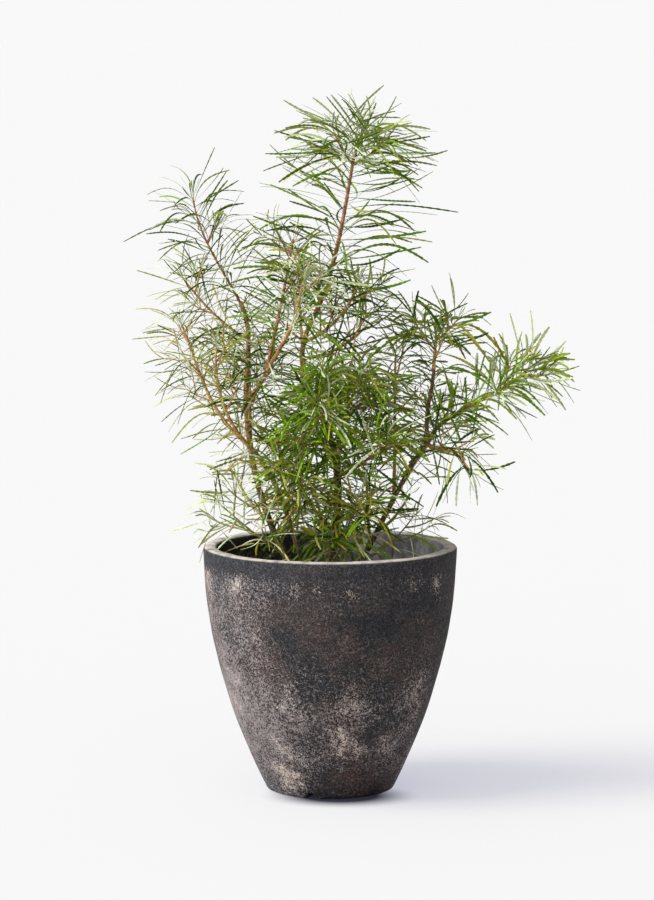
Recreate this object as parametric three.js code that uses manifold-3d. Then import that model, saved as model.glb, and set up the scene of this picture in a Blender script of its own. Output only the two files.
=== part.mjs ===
// A young banksia in an aged terracotta pot: pot, soil, stems, boughs and foliage.
// Millimetres, +Z up, +Y away from the viewer, origin at the centre of the pot's flat underside.
import * as THREE from 'three';
import { mergeVertices } from 'three/addons/utils/BufferGeometryUtils.js';
import Module from 'manifold-3d';

const wasm = await Module();
wasm.setup();

// Clearance that touching pieces keep.
const GAP = 0.3;
const FULL_TURN = 2 * Math.PI;
const GOLDEN_TURN = THREE.MathUtils.degToRad(137.5);
const UP = new THREE.Vector3(0, 0, 1);
const BACK = new THREE.Vector3(0, 1, 0);

// The pot: a bowl-bottomed tub whose side curves out from a small foot to a near upright rim.
const POT = {
  height: 294,
  rimRadius: 152,
  footRadius: 76,
  wall: 17,
  floor: 22,
  bend: 1.95,
  footRound: 5,
  footSpread: 2,
  rimRound: 5,
  sideRings: [0.12, 0.27, 0.43, 0.6, 0.79],
  hollowRings: [0.05, 0.3, 0.6, 1],
  segments: 32,
};
const NOTCH = { count: 3, width: 12, height: 7, depth: 9, firstBearing: -106 };
// The soil's top: its edge is so far below the rim, and it rises to a low dome in the middle.
const SOIL = { below: 46, dome: 5, shoulder: 0.6, shoulderRise: 0.8 };
const GROUND = POT.height - SOIL.below;
const CROWN = GROUND + SOIL.dome;

// Limbs are tapered tubes along one curve. A limb sets off along the first vector and arrives
// along the second, and one that grows on another starts at a share of that limb's length.
const LIMB_SIDES = 6;
const LIMB_STEP = 17;
const FOOT_CUT = 100;
const FLARE = { share: 0.8, height: 9 };
const LIMBS = {
  trunk: {
    foot: [-6, 0], setsOff: [0.24, 0, 0.99], tip: [4, 0, 410], arrives: [-0.22, 0.03, 0.95],
    radii: [5.4, 4.1],
  },
  stem_left: {
    foot: [-37, 2], setsOff: [-0.6, -0.14, 1.1], tip: [-100, 8, 467], arrives: [-0.04, 0.14, 0.96],
    radii: [4.2, 3.2],
  },
  stem_left_front: {
    foot: [-22, -14], setsOff: [-0.47, -0.35, 1.19], tip: [-106, -25, 425], arrives: [-0.77, 0.08, 0.64],
    radii: [3.3, 2.4],
  },
  stem_right: {
    foot: [22, 0], setsOff: [0.52, 0, 0.82], tip: [125, -20, 434], arrives: [0.6, 0, 0.78],
    radii: [3.4, 2.5],
  },
  bough_leader: {
    on: 'trunk', at: 1, tip: [-23, 20, 558], arrives: [0.6, -0.1, 1.19], radii: [3.8, 2.8],
  },
  bough_left_high: {
    on: 'stem_left', at: 1, tip: [-107, 15, 583], arrives: [-0.45, 0.03, 0.85], radii: [3, 2.4],
  },
  bough_left_inner: {
    on: 'stem_left', at: 0.93, setsOff: [0.25, -0.7, 0.75], tip: [-54, -60, 543],
    arrives: [0.5, -0.2, 0.85], radii: [2.4, 2.1],
  },
  bough_right_low: {
    on: 'stem_right', at: 1, tip: [162, -23, 461], arrives: [0.85, -0.03, 0.5], radii: [2.4, 2.2],
  },
  bough_right_high: {
    on: 'stem_right', at: 0.94, setsOff: [-0.3, 0.35, 0.9], tip: [123, -10, 505],
    arrives: [0.03, 0.06, 1], radii: [2.2, 2],
  },
};

// Foliage: each shoot leaves its limb and ends where bearing, rise and length put its tip.
// Bearings turn from +X towards the back. Curl is how much steeper it ends than it averages.
const SHOOTS = {
  foliage_top: {
    on: 'bough_leader', at: 1, bearing: -26, rise: 74, length: 198, curl: 10,
    twigs: 3, fork: 0.93, reach: 56, turn: 185, spread: 66, stemLeaf: 1.35,
  },
  foliage_left_high: {
    on: 'bough_left_high', at: 1, bearing: -170, rise: 66, length: 145, curl: 18,
    twigs: 3, fork: 0.2, reach: 48,
  },
  foliage_left_mid: {
    on: 'bough_left_high', at: 0.6, bearing: -153, rise: 42, length: 112, curl: 10,
    twigs: 3, fork: 0.35, reach: 38,
  },
  foliage_left_low: {
    on: 'stem_left_front', at: 1, bearing: 157, rise: 60, length: 152, curl: 6,
    twigs: 3, fork: 0.25, reach: 38,
  },
  foliage_left_inner: {
    on: 'stem_left_front', at: 0.93, bearing: -150, rise: 70, length: 128, curl: 28,
    twigs: 3, fork: 0.3, reach: 42,
  },
  foliage_inner: {
    on: 'bough_left_inner', at: 1, bearing: -40, rise: 68, length: 74, curl: 12,
    twigs: 3, fork: 0.3, reach: 38,
  },
  foliage_upper: {
    on: 'bough_left_inner', at: 0.62, bearing: 40, rise: 75, length: 128, curl: 2,
    twigs: 3, fork: 0.5, reach: 38,
  },
  foliage_leader_front: {
    on: 'bough_leader', at: 0.85, bearing: -38, rise: 40, length: 104, curl: 22,
    twigs: 3, fork: 0.4, reach: 36,
  },
  foliage_leader_right: {
    on: 'bough_leader', at: 0.72, bearing: 17, rise: 25, length: 88, curl: 22,
    twigs: 3, fork: 0.4, reach: 38,
  },
  foliage_leader_back: {
    on: 'bough_leader', at: 0.55, bearing: 97, rise: 57, length: 137, curl: 20,
    twigs: 3, fork: 0.35, reach: 46,
  },
  foliage_front: {
    on: 'trunk', at: 0.95, bearing: -111, rise: 42, length: 116, curl: 24,
    twigs: 4, fork: 0.3, reach: 44,
  },
  foliage_front_mid: {
    on: 'bough_leader', at: 0.16, bearing: -42, rise: 36, length: 82, curl: 20,
    twigs: 3, fork: 0.35, reach: 40,
  },
  foliage_front_right: {
    on: 'trunk', at: 0.8, bearing: -55, rise: 28, length: 111, curl: 14,
    twigs: 3, fork: 0.35, reach: 42,
  },
  foliage_right_inner: {
    on: 'stem_right', at: 0.55, bearing: 87, rise: 76, length: 169, curl: 10,
    twigs: 3, fork: 0.25, reach: 46,
  },
  foliage_right_high: {
    on: 'bough_right_high', at: 1, bearing: 45, rise: 84, length: 60, curl: 2,
    twigs: 3, fork: 0.15, reach: 36,
  },
  foliage_right_tip: {
    on: 'bough_right_low', at: 1, bearing: -2, rise: 33, length: 88, curl: 12,
    twigs: 3, fork: 0.2, reach: 40, stemLeaf: 1.15,
  },
  foliage_right_low: {
    on: 'stem_right', at: 0.9, bearing: -42, rise: -4, length: 62, curl: 8,
    twigs: 3, fork: 0.3, reach: 36,
  },
  foliage_low_left: {
    on: 'stem_left_front', at: 0.1, bearing: -152, rise: 37, length: 138, curl: 4,
    twigs: 3, fork: 0.35, reach: 48,
  },
  foliage_low_right: {
    on: 'stem_right', at: 0.14, bearing: 24, rise: 36, length: 84, curl: 16,
    twigs: 3, fork: 0.4, reach: 42,
  },
  foliage_low_front: {
    on: 'trunk', at: 0.12, bearing: -62, rise: 52, length: 98, curl: 16,
    twigs: 3, fork: 0.3, reach: 42,
  },
  foliage_low_trunk: {
    on: 'trunk', at: 0.38, bearing: -134, rise: 50, length: 112, curl: 15,
    twigs: 3, fork: 0.3, reach: 42,
  },
  foliage_low_middle: {
    on: 'stem_left', at: 0.56, bearing: -12, rise: 46, length: 84, curl: 14,
    twigs: 3, fork: 0.3, reach: 38,
  },
  foliage_low_inner: {
    on: 'stem_right', at: 0.25, bearing: -96, rise: 60, length: 98, curl: 12,
    twigs: 3, fork: 0.3, reach: 42,
  },
  foliage_back: {
    on: 'trunk', at: 0.62, bearing: 88, rise: 56, length: 171, curl: 16,
    twigs: 3, fork: 0.3, reach: 50,
  },
  foliage_back_left: {
    on: 'stem_left', at: 0.75, bearing: 92, rise: 54, length: 143, curl: 18,
    twigs: 4, fork: 0.3, reach: 50,
  },
  foliage_back_right: {
    on: 'stem_right', at: 0.62, bearing: 66, rise: 39, length: 119, curl: 20,
    twigs: 4, fork: 0.3, reach: 46,
  },
  foliage_back_low: {
    on: 'trunk', at: 0.24, bearing: 104, rise: 38, length: 112, curl: 16,
    twigs: 3, fork: 0.3, reach: 42,
  },
  foliage_low_left_back: {
    on: 'stem_left', at: 0.35, bearing: 122, rise: 30, length: 92, curl: 16,
    twigs: 3, fork: 0.3, reach: 40,
  },
  foliage_low_right_back: {
    on: 'stem_right', at: 0.34, bearing: 62, rise: 22, length: 92, curl: 16,
    twigs: 3, fork: 0.3, reach: 40,
  },
};
const TWIG_SIDES = 3;
const SHOOT = {
  radii: [2.7, 1.8],
  step: 34,
  twigRadii: [2.2, 1.6],
  twigSplay: 52,
  twigLift: 0.5,
  twigsEnd: 0.97,
  twigRoom: [0.3, 0.5, 0.7, 0.9, 1],
  attempts: 3,
};
const SEED = { first: 1000, step: 77 };
const LENGTH_SCATTER = 0.3;

// Leaves stand on a shoot at the golden angle, wide at its foot and closer to it at its tip.
const LEAF = {
  length: 68,
  width: 10,
  thickness: 2.6,
  widestAt: 0.42,
  sunk: 0.7,
  twigFrom: 0.25,
  stemFrom: 0.12,
  spacing: 10.8,
  rootInStep: 0.7,
  closesFrom: 0.55,
  attempts: 6,
  shorter: 0.93,
  angleScatter: 0.5,
  splay: 80,
  spread: 50,
  splayScatter: 22,
  arch: 0.05,
  sag: 0.09,
  edgeChecks: [0.3, 0.65, 1, 1.33, 1.67, 2],
  apartFrom: 0.4,
};
// Leaves keep this far inside their shoot's own space and away from limbs.
const LEAF_CLEARANCE = 1.2;
const TRACE_POINTS = 25;

const COLOURS = {
  terracotta: new THREE.MeshStandardMaterial({ color: 0x4a4544, roughness: 0.9, metalness: 0 }),
  soil: new THREE.MeshStandardMaterial({ color: 0x2e241c, roughness: 1, metalness: 0 }),
  bark: new THREE.MeshStandardMaterial({ color: 0x6b4a35, roughness: 0.9, metalness: 0 }),
  leaf: new THREE.MeshStandardMaterial({ color: 0x4f6b36, roughness: 0.6, metalness: 0 }),
};

// Random numbers from 0 to 1 that are the same on every run.
function drawFrom(seed) {
  const multiplier = 48271;
  const modulus = 2147483647;
  let state = seed;
  return () => {
    state = (state * multiplier) % modulus;
    return state / modulus;
  };
}

function solidFrom(geometry) {
  const bare = geometry.clone();
  bare.deleteAttribute('normal');
  bare.deleteAttribute('uv');
  const merged = mergeVertices(bare);
  return new wasm.Manifold(new wasm.Mesh({
    numProp: 3,
    vertProperties: new Float32Array(merged.attributes.position.array),
    triVerts: new Uint32Array(merged.index.array),
  }));
}

// The largest body of a solid, without loose scraps and sealed hollows, as a geometry.
function geometryFrom(solid) {
  const bodies = solid.decompose();
  const largest = bodies.reduce((a, b) => (a.volume() > b.volume() ? a : b));
  const mesh = largest.getMesh();
  const geometry = new THREE.BufferGeometry();
  geometry.setAttribute('position', new THREE.BufferAttribute(new Float32Array(mesh.vertProperties), 3));
  geometry.setIndex(new THREE.BufferAttribute(new Uint32Array(mesh.triVerts), 1));
  const faceted = geometry.toNonIndexed();
  faceted.computeVertexNormals();
  return faceted;
}

function named(name, geometry, material) {
  const mesh = new THREE.Mesh(geometry, material);
  mesh.name = name;
  return mesh;
}

function arc(centre, radius, fromDegrees, toDegrees, steps) {
  return Array.from({ length: steps + 1 }, (_, i) => {
    const angle = THREE.MathUtils.degToRad(fromDegrees + ((toDegrees - fromDegrees) * i) / steps);
    return new THREE.Vector2(centre[0] + radius * Math.cos(angle), centre[1] + radius * Math.sin(angle));
  });
}

// The pot's outer radius: close to a parabola that stands upright at the rim.
function potRadius(z) {
  const fall = 1 - Math.min(1, z / POT.height);
  return POT.rimRadius - (POT.rimRadius - POT.footRadius) * fall ** POT.bend;
}

function turned(profile) {
  return new THREE.LatheGeometry(profile, POT.segments).rotateX(Math.PI / 2);
}

// The hollow's outline from the middle of the pot's floor up to the soil's edge. The soil has it too.
function hollowProfile(clearance) {
  const side = POT.hollowRings.map((share) => {
    const z = THREE.MathUtils.lerp(POT.floor, GROUND, share);
    return new THREE.Vector2(potRadius(z) - POT.wall - clearance, z);
  });
  const bottom = POT.floor + clearance;
  return [new THREE.Vector2(0, bottom), new THREE.Vector2(side[0].x - POT.footRound, bottom), ...side];
}

function potBody() {
  const { height, rimRadius, footRadius, wall, footRound, footSpread, rimRound } = POT;
  const rimStart = height - rimRound;
  const side = POT.sideRings.map((share) => {
    const z = footRound + (rimStart - footRound) * share;
    return new THREE.Vector2(potRadius(z), z);
  });
  const profile = [
    new THREE.Vector2(0, 0),
    ...arc([footRadius - footRound + footSpread, footRound], footRound, -90, -20, 2),
    ...side,
    ...arc([rimRadius - rimRound, rimStart], rimRound, 0, 90, 2),
    ...arc([rimRadius - wall + rimRound, rimStart], rimRound, 90, 180, 2),
    ...hollowProfile(0).reverse(),
  ];
  let body = solidFrom(turned(profile));
  for (let i = 0; i < NOTCH.count; i += 1) {
    const bearing = THREE.MathUtils.degToRad(NOTCH.firstBearing) + (FULL_TURN * i) / NOTCH.count;
    const cutter = new THREE.BoxGeometry(4 * NOTCH.depth, NOTCH.width, 2 * NOTCH.height);
    cutter.translate(footRadius + NOTCH.depth, 0, 0);
    cutter.rotateZ(bearing);
    body = body.subtract(solidFrom(cutter));
  }
  return geometryFrom(body);
}

function soilBody() {
  const edge = hollowProfile(GAP);
  const rim = edge.at(-1);
  const shoulder = new THREE.Vector2(rim.x * SOIL.shoulder, GROUND + SOIL.dome * SOIL.shoulderRise);
  return turned([...edge, shoulder, new THREE.Vector2(0, CROWN)]);
}

// A cubic curve that leaves one point along a vector and reaches another along a second one.
function course(start, setsOff, tip, arrives) {
  const third = start.distanceTo(tip) / 3;
  return new THREE.CubicBezierCurve3(
    start,
    start.clone().addScaledVector(setsOff, third),
    tip.clone().addScaledVector(arrives, -third),
    tip,
  );
}

// A closed tapered tube: a cylinder whose rings are moved onto the curve.
function taperedTube(curve, radiusAt, sides, steps) {
  const tube = new THREE.CylinderGeometry(1, 1, 1, sides, steps);
  const frames = curve.computeFrenetFrames(steps);
  const places = tube.attributes.position;
  for (let i = 0; i < places.count; i += 1) {
    const ring = Math.round((places.getY(i) + 0.5) * steps);
    const share = ring / steps;
    const radius = radiusAt(share);
    const point = curve.getPointAt(share)
      .addScaledVector(frames.normals[ring], places.getX(i) * radius)
      .addScaledVector(frames.binormals[ring], -places.getZ(i) * radius);
    places.setXYZ(i, point.x, point.y, point.z);
  }
  return tube;
}

// The place on the straight stretches that a tube of so many steps makes of its curve.
function onChord(curve, steps, share) {
  const step = Math.min(steps - 1, Math.floor(share * steps));
  return curve.getPointAt(step / steps).lerp(curve.getPointAt((step + 1) / steps), share * steps - step);
}

function along(radii, share) {
  return THREE.MathUtils.lerp(radii[0], radii[1], share);
}

// Points along a curve with the limb's radius at each, for measuring distances.
function trace(curve, radii) {
  return Array.from({ length: TRACE_POINTS }, (_, i) => {
    const share = i / (TRACE_POINTS - 1);
    return { point: curve.getPointAt(share), radius: along(radii, share) };
  });
}

// Distance from a point to the surface of a traced limb.
function distanceTo(traced, point) {
  let nearest = Infinity;
  const span = new THREE.Line3();
  const foot = new THREE.Vector3();
  for (let i = 1; i < traced.length; i += 1) {
    span.set(traced[i - 1].point, traced[i].point);
    span.closestPointToPoint(point, true, foot);
    nearest = Math.min(nearest, foot.distanceTo(point) - traced[i - 1].radius);
  }
  return nearest;
}

function direction(bearing, rise) {
  const turn = THREE.MathUtils.degToRad(bearing);
  const lift = THREE.MathUtils.degToRad(rise);
  return new THREE.Vector3(
    Math.cos(lift) * Math.cos(turn),
    Math.cos(lift) * Math.sin(turn),
    Math.sin(lift),
  );
}

// The direction that stands off a heading by the splay, at an angle round it.
function around(heading, angle, splay) {
  const side = heading.clone().cross(BACK).normalize();
  const lift = side.clone().cross(heading);
  return heading.clone().multiplyScalar(Math.cos(splay))
    .addScaledVector(side, Math.cos(angle) * Math.sin(splay))
    .addScaledVector(lift, Math.sin(angle) * Math.sin(splay));
}

function growLimbs() {
  const limbs = {};
  for (const [name, spec] of Object.entries(LIMBS)) {
    const parent = limbs[spec.on];
    const setsOff = spec.setsOff ? new THREE.Vector3(...spec.setsOff) : parent.curve.getTangentAt(spec.at);
    const start = parent
      ? parent.curve.getPointAt(spec.at)
      : new THREE.Vector3(...spec.foot, GROUND);
    if (spec.at === 1) start.addScaledVector(setsOff, GAP);
    const curve = course(start, setsOff, new THREE.Vector3(...spec.tip), new THREE.Vector3(...spec.arrives));
    limbs[name] = { ...spec, curve, traced: trace(curve, spec.radii) };
  }
  return limbs;
}

// A limb's tube, grown by some clearance. One from the soil starts under it and flares there.
function limbTube(limb, clearance) {
  const { curve, radii, on } = limb;
  const steps = Math.round(curve.getLength() / LIMB_STEP);
  const foot = on ? 0 : FLARE.share * radii[0];
  const radiusAt = (share) => {
    const flare = foot * Math.exp((-share * curve.getLength()) / FLARE.height);
    return along(radii, share) + flare + clearance;
  };
  return taperedTube(curve, radiusAt, LIMB_SIDES, steps);
}

const limbs = growLimbs();
const inflatedLimbs = Object.fromEntries(
  Object.entries(limbs).map(([name, limb]) => [name, solidFrom(limbTube(limb, GAP))]),
);

function limbBody(name) {
  const limb = limbs[name];
  let body = solidFrom(limbTube(limb, 0));
  if (limb.on && limb.at < 1) body = body.subtract(inflatedLimbs[limb.on]);
  if (!limb.on) {
    const below = new THREE.BoxGeometry(FOOT_CUT, FOOT_CUT, FOOT_CUT);
    below.translate(...limb.foot, CROWN + GAP - FOOT_CUT / 2);
    body = body.subtract(solidFrom(below));
  }
  return geometryFrom(body);
}

// The stem of each shoot, so that every mass knows the space between itself and the others.
function growStems() {
  const stems = {};
  for (const [name, spec] of Object.entries(SHOOTS)) {
    const parent = limbs[spec.on].curve;
    const fromTip = spec.at === 1;
    const start = parent.getPointAt(spec.at);
    const tip = start.clone().addScaledVector(direction(spec.bearing, spec.rise), spec.length);
    const setsOff = fromTip
      ? parent.getTangentAt(1)
      : direction(spec.bearing, spec.rise - spec.curl);
    if (fromTip) start.addScaledVector(setsOff, GAP);
    const curve = course(start, setsOff, tip, direction(spec.bearing, spec.rise + spec.curl));
    stems[name] = { ...spec, curve, traced: trace(curve, SHOOT.radii) };
  }
  return stems;
}

const stems = growStems();

// True above the rim, beyond it, or inside the pot over the soil.
function clearOfPot(point, clearance) {
  const out = Math.hypot(point.x, point.y);
  if (point.z > POT.height + clearance || out > POT.rimRadius + clearance) return true;
  return point.z > CROWN + clearance && out < potRadius(point.z) - POT.wall - clearance;
}

// True where every point is nearer to its own stem than to any other and clear of all limbs.
function keepsItsSpace(name, points, clearance) {
  return points.every((point) => {
    if (!clearOfPot(point, clearance)) return false;
    const own = distanceTo(stems[name].traced, point);
    const others = Object.entries(stems).filter(([other]) => other !== name);
    return others.every(([, stem]) => distanceTo(stem.traced, point) > own + 2 * clearance)
      && Object.values(limbs).every((limb) => distanceTo(limb.traced, point) > clearance);
  });
}

function shootSteps(curve) {
  return Math.max(2, Math.round(curve.getLength() / SHOOT.step));
}

function scattered(length, draw) {
  return length * (1 + LENGTH_SCATTER * (draw() - 0.5));
}

// Side twigs at the golden angle, each bent up towards the light. Those without room are left out.
function growTwigs(name, draw) {
  const { curve, twigs, fork, reach, turn } = stems[name];
  const steps = shootSteps(curve);
  const splay = THREE.MathUtils.degToRad(SHOOT.twigSplay);
  const anyAngle = FULL_TURN * draw();
  let angle = turn === undefined ? anyAngle : THREE.MathUtils.degToRad(turn);
  const grown = [];
  for (let i = 0; i < twigs; i += 1) {
    const share = fork + ((SHOOT.twigsEnd - fork) * (i + 0.5)) / twigs;
    const start = onChord(curve, steps, share);
    const length = scattered(reach, draw);
    for (let attempt = 0; attempt < SHOOT.attempts; attempt += 1) {
      const setsOff = around(curve.getTangentAt(share), angle, splay);
      const arrives = setsOff.clone().addScaledVector(UP, SHOOT.twigLift).normalize();
      const tip = start.clone().addScaledVector(setsOff.clone().add(arrives).normalize(), length);
      const twig = course(start, setsOff, tip, arrives);
      const room = SHOOT.twigRoom.map((at) => twig.getPointAt(at));
      angle += GOLDEN_TURN;
      if (keepsItsSpace(name, room, 2 * LEAF_CLEARANCE)) {
        grown.push(twig);
        break;
      }
    }
  }
  return grown;
}

// One leaf as a long eight-faced blade, from its sunk root over a low arch to its drooping tip.
function layLeaf(root, outward, heading, length) {
  const level = Math.hypot(outward.x, outward.y);
  const sideways = heading.clone().cross(outward).normalize();
  const middle = root.clone().addScaledVector(outward, length * LEAF.widestAt)
    .addScaledVector(UP, LEAF.arch * length * level);
  const tip = root.clone().addScaledVector(outward, length)
    .addScaledVector(UP, -LEAF.sag * length * level);
  return { root, middle, tip, outward, sideways };
}

function leafBlade({ root, middle, tip, outward, sideways }) {
  const upper = outward.clone().cross(sideways).normalize();
  const blade = new THREE.OctahedronGeometry(1);
  const places = blade.attributes.position;
  for (let i = 0; i < places.count; i += 1) {
    const end = Math.round(places.getX(i));
    const point = (end === 0 ? middle : end < 0 ? root : tip).clone()
      .addScaledVector(sideways, (places.getY(i) * LEAF.width) / 2)
      .addScaledVector(upper, (places.getZ(i) * LEAF.thickness) / 2);
    places.setXYZ(i, point.x, point.y, point.z);
  }
  return solidFrom(blade);
}

// Points down both edges of a leaf, from just off its twig to its tip.
function leafEdges({ root, middle, tip, sideways }) {
  const half = LEAF.width / 2;
  return LEAF.edgeChecks.flatMap((share) => {
    const inner = share <= 1;
    const point = inner ? root.clone().lerp(middle, share) : middle.clone().lerp(tip, share - 1);
    const reach = half * (inner ? share : 2 - share);
    return [-reach, reach].map((offset) => point.clone().addScaledVector(sideways, offset));
  });
}

// What later leaves keep clear of: a leaf's outer part, as a traced limb of its half width.
function leafTrace({ root, middle, tip }) {
  const radius = LEAF.width / 2;
  return [
    { point: root.clone().lerp(middle, LEAF.apartFrom), radius: LEAF.apartFrom * radius },
    { point: middle, radius },
    { point: tip, radius: 0 },
  ];
}

// Leaves up a stem or twig. Each tries some angles, shorter each time, and is left out if none has room.
function growLeaves(name, curve, from, kept, draw, scale = 1) {
  const spread = stems[name].spread ?? LEAF.spread;
  const count = Math.max(2, Math.round((curve.getLength() * (1 - from)) / LEAF.spacing));
  const leaves = [];
  let angle = FULL_TURN * draw();
  for (let i = 0; i < count; i += 1) {
    const share = from + ((1 - from) * (i + LEAF.rootInStep)) / count;
    const nearTip = THREE.MathUtils.smoothstep(share, LEAF.closesFrom, 1);
    const splay = along([LEAF.splay, spread], nearTip) + LEAF.splayScatter * (draw() - 0.5);
    const size = scale * scattered(LEAF.length, draw);
    const heading = curve.getTangentAt(share);
    for (let attempt = 0; attempt < LEAF.attempts; attempt += 1) {
      angle += GOLDEN_TURN + LEAF.angleScatter * (draw() - 0.5);
      const outward = around(heading, angle, THREE.MathUtils.degToRad(splay));
      const root = onChord(curve, shootSteps(curve), share).addScaledVector(outward, -LEAF.sunk);
      const leaf = layLeaf(root, outward, heading, size * LEAF.shorter ** attempt);
      const edges = leafEdges(leaf);
      const apart = edges.every((point) => kept.every((other) => distanceTo(other, point) > 0));
      if (apart && keepsItsSpace(name, edges, LEAF_CLEARANCE)) {
        leaves.push(leaf);
        kept.push(leafTrace(leaf));
        break;
      }
    }
  }
  return leaves;
}

function foliageBody(name, index) {
  const { curve, on, stemLeaf } = stems[name];
  const draw = drawFrom(SEED.first + SEED.step * index);
  draw();
  const tube = (path, radii) => {
    return solidFrom(taperedTube(path, (share) => along(radii, share), TWIG_SIDES, shootSteps(path)));
  };
  const twigs = growTwigs(name, draw);
  const kept = twigs.map((twig) => trace(twig, SHOOT.twigRadii).slice(TRACE_POINTS / 5));
  const leaves = twigs.flatMap((twig) => growLeaves(name, twig, LEAF.twigFrom, kept, draw));
  leaves.push(...growLeaves(name, curve, LEAF.stemFrom, kept, draw, stemLeaf));
  const stem = tube(curve, SHOOT.radii).subtract(inflatedLimbs[on]);
  const pieces = [...twigs.map((twig) => tube(twig, SHOOT.twigRadii)), ...leaves.map(leafBlade)];
  return geometryFrom(pieces.reduce((whole, piece) => whole.add(piece), stem));
}

const plant = new THREE.Group();
plant.add(named('pot', potBody(), COLOURS.terracotta));
plant.add(named('soil', soilBody(), COLOURS.soil));
for (const name of Object.keys(limbs)) plant.add(named(name, limbBody(name), COLOURS.bark));
Object.keys(SHOOTS).forEach((name, index) => {
  plant.add(named(name, foliageBody(name, index), COLOURS.leaf));
});

export default plant;
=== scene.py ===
"""A young banksia in an aged terracotta pot. Metres, +Z up, +Y away from the viewer."""

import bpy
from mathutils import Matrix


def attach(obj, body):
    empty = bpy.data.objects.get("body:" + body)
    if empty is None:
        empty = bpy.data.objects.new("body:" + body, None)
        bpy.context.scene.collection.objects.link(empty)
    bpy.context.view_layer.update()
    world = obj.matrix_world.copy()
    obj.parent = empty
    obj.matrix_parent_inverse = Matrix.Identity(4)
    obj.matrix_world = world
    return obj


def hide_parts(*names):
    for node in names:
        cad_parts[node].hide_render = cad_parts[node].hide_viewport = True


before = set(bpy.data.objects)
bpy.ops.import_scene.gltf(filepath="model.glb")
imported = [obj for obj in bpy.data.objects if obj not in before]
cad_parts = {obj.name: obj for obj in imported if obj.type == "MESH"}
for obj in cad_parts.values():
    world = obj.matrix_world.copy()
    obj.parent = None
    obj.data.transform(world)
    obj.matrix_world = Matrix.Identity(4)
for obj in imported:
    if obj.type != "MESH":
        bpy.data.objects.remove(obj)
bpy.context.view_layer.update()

import itertools
import math

import bmesh
import bpy
import numpy as np
from mathutils import Matrix, Vector, noise

# The view
# The camera stands well back, a little above the rim, and looks slightly down through a long lens.
CAMERA_PLACE = (-0.0036, -4.3, 0.898)
CAMERA_DOWN = math.radians(6.5)
CAMERA_HALF_VIEW = math.radians(7.07)
SENSOR = 36.0

camera_data = bpy.data.cameras.new("camera")
camera_data.sensor_fit = "VERTICAL"
camera_data.sensor_height = SENSOR
camera_data.lens = SENSOR / 2 / math.tan(CAMERA_HALF_VIEW)
camera = bpy.data.objects.new("camera", camera_data)
camera.location = CAMERA_PLACE
camera.rotation_euler = (math.pi / 2 - CAMERA_DOWN, 0, 0)
bpy.context.scene.collection.objects.link(camera)
bpy.context.scene.camera = camera

# The pot
# Thrown terracotta, smoked nearly black and rubbed back to beige clay in patches. It is one turned
# wall with a rounded rim, on a foot that three small drain notches are cut into.
POT_HEIGHT = 0.294
RIM_RADIUS = 0.152
FOOT_RADIUS = 0.076
POT_WALL = 0.017
POT_FLOOR = 0.022
POT_BEND = 1.95
FOOT_ROUND = 0.005
FOOT_SPREAD = 0.002
RIM_ROUND = 0.005
POT_SEGMENTS = 288
WALL_RINGS = 60
NOTCHES = 3
NOTCH_WIDTH = 0.015
NOTCH_HEIGHT = 0.007
NOTCH_DEPTH = 0.009
NOTCH_BEARING = math.radians(-106)
POT_LUMPS = 0.0007
POT_LUMP_SIZE = 0.035
POT_CHIPS = 0.0012
POT_CHIP_SIZE = 0.009
POT_CHIP_LEVEL = 0.25
WALL_START = FOOT_ROUND * 1.2
ON_FLOOR = 1e-5


def pot_radius(z):
    """The pot's outer radius: close to a parabola that stands upright at the rim."""
    fall = 1 - min(1, z / POT_HEIGHT)
    return RIM_RADIUS - (RIM_RADIUS - FOOT_RADIUS) * fall ** POT_BEND


def arc(centre, radius, from_degrees, to_degrees, steps):
    """Points round part of a circle, as (out, up)."""
    angles = np.radians(np.linspace(from_degrees, to_degrees, steps + 1))
    return [(centre[0] + radius * math.cos(a), centre[1] + radius * math.sin(a)) for a in angles]


def wall_line(low, high, inwards, rings):
    """Points up the wall, so far inside its outer face, as (out, up)."""
    return [(pot_radius(z) - inwards, z) for z in np.linspace(low, high, rings + 1)]


def spun(profile, segments):
    """A mesh turned from a profile of (out, up) points about the upright axis."""
    bm = bmesh.new()
    verts = [bm.verts.new((out, 0, up)) for out, up in profile]
    edges = [bm.edges.new(pair) for pair in itertools.pairwise(verts)]
    bmesh.ops.spin(
        bm, geom=verts + edges, cent=(0, 0, 0), axis=(0, 0, 1), dvec=(0, 0, 0),
        angle=math.tau, steps=segments, use_merge=True, use_duplicate=False,
    )
    bmesh.ops.remove_doubles(bm, verts=bm.verts, dist=1e-6)
    bmesh.ops.recalc_face_normals(bm, faces=bm.faces)
    return bm


def placed(mesh, smooth):
    """A mesh as an object of its name at the origin."""
    mesh.shade_smooth() if smooth else mesh.shade_flat()
    made = bpy.data.objects.new(mesh.name, mesh)
    bpy.context.scene.collection.objects.link(made)
    return made


def finished(name, bm, smooth=True):
    """A piece from its bmesh."""
    mesh = bpy.data.meshes.new(name)
    bm.to_mesh(mesh)
    bm.free()
    return placed(mesh, smooth)


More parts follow.
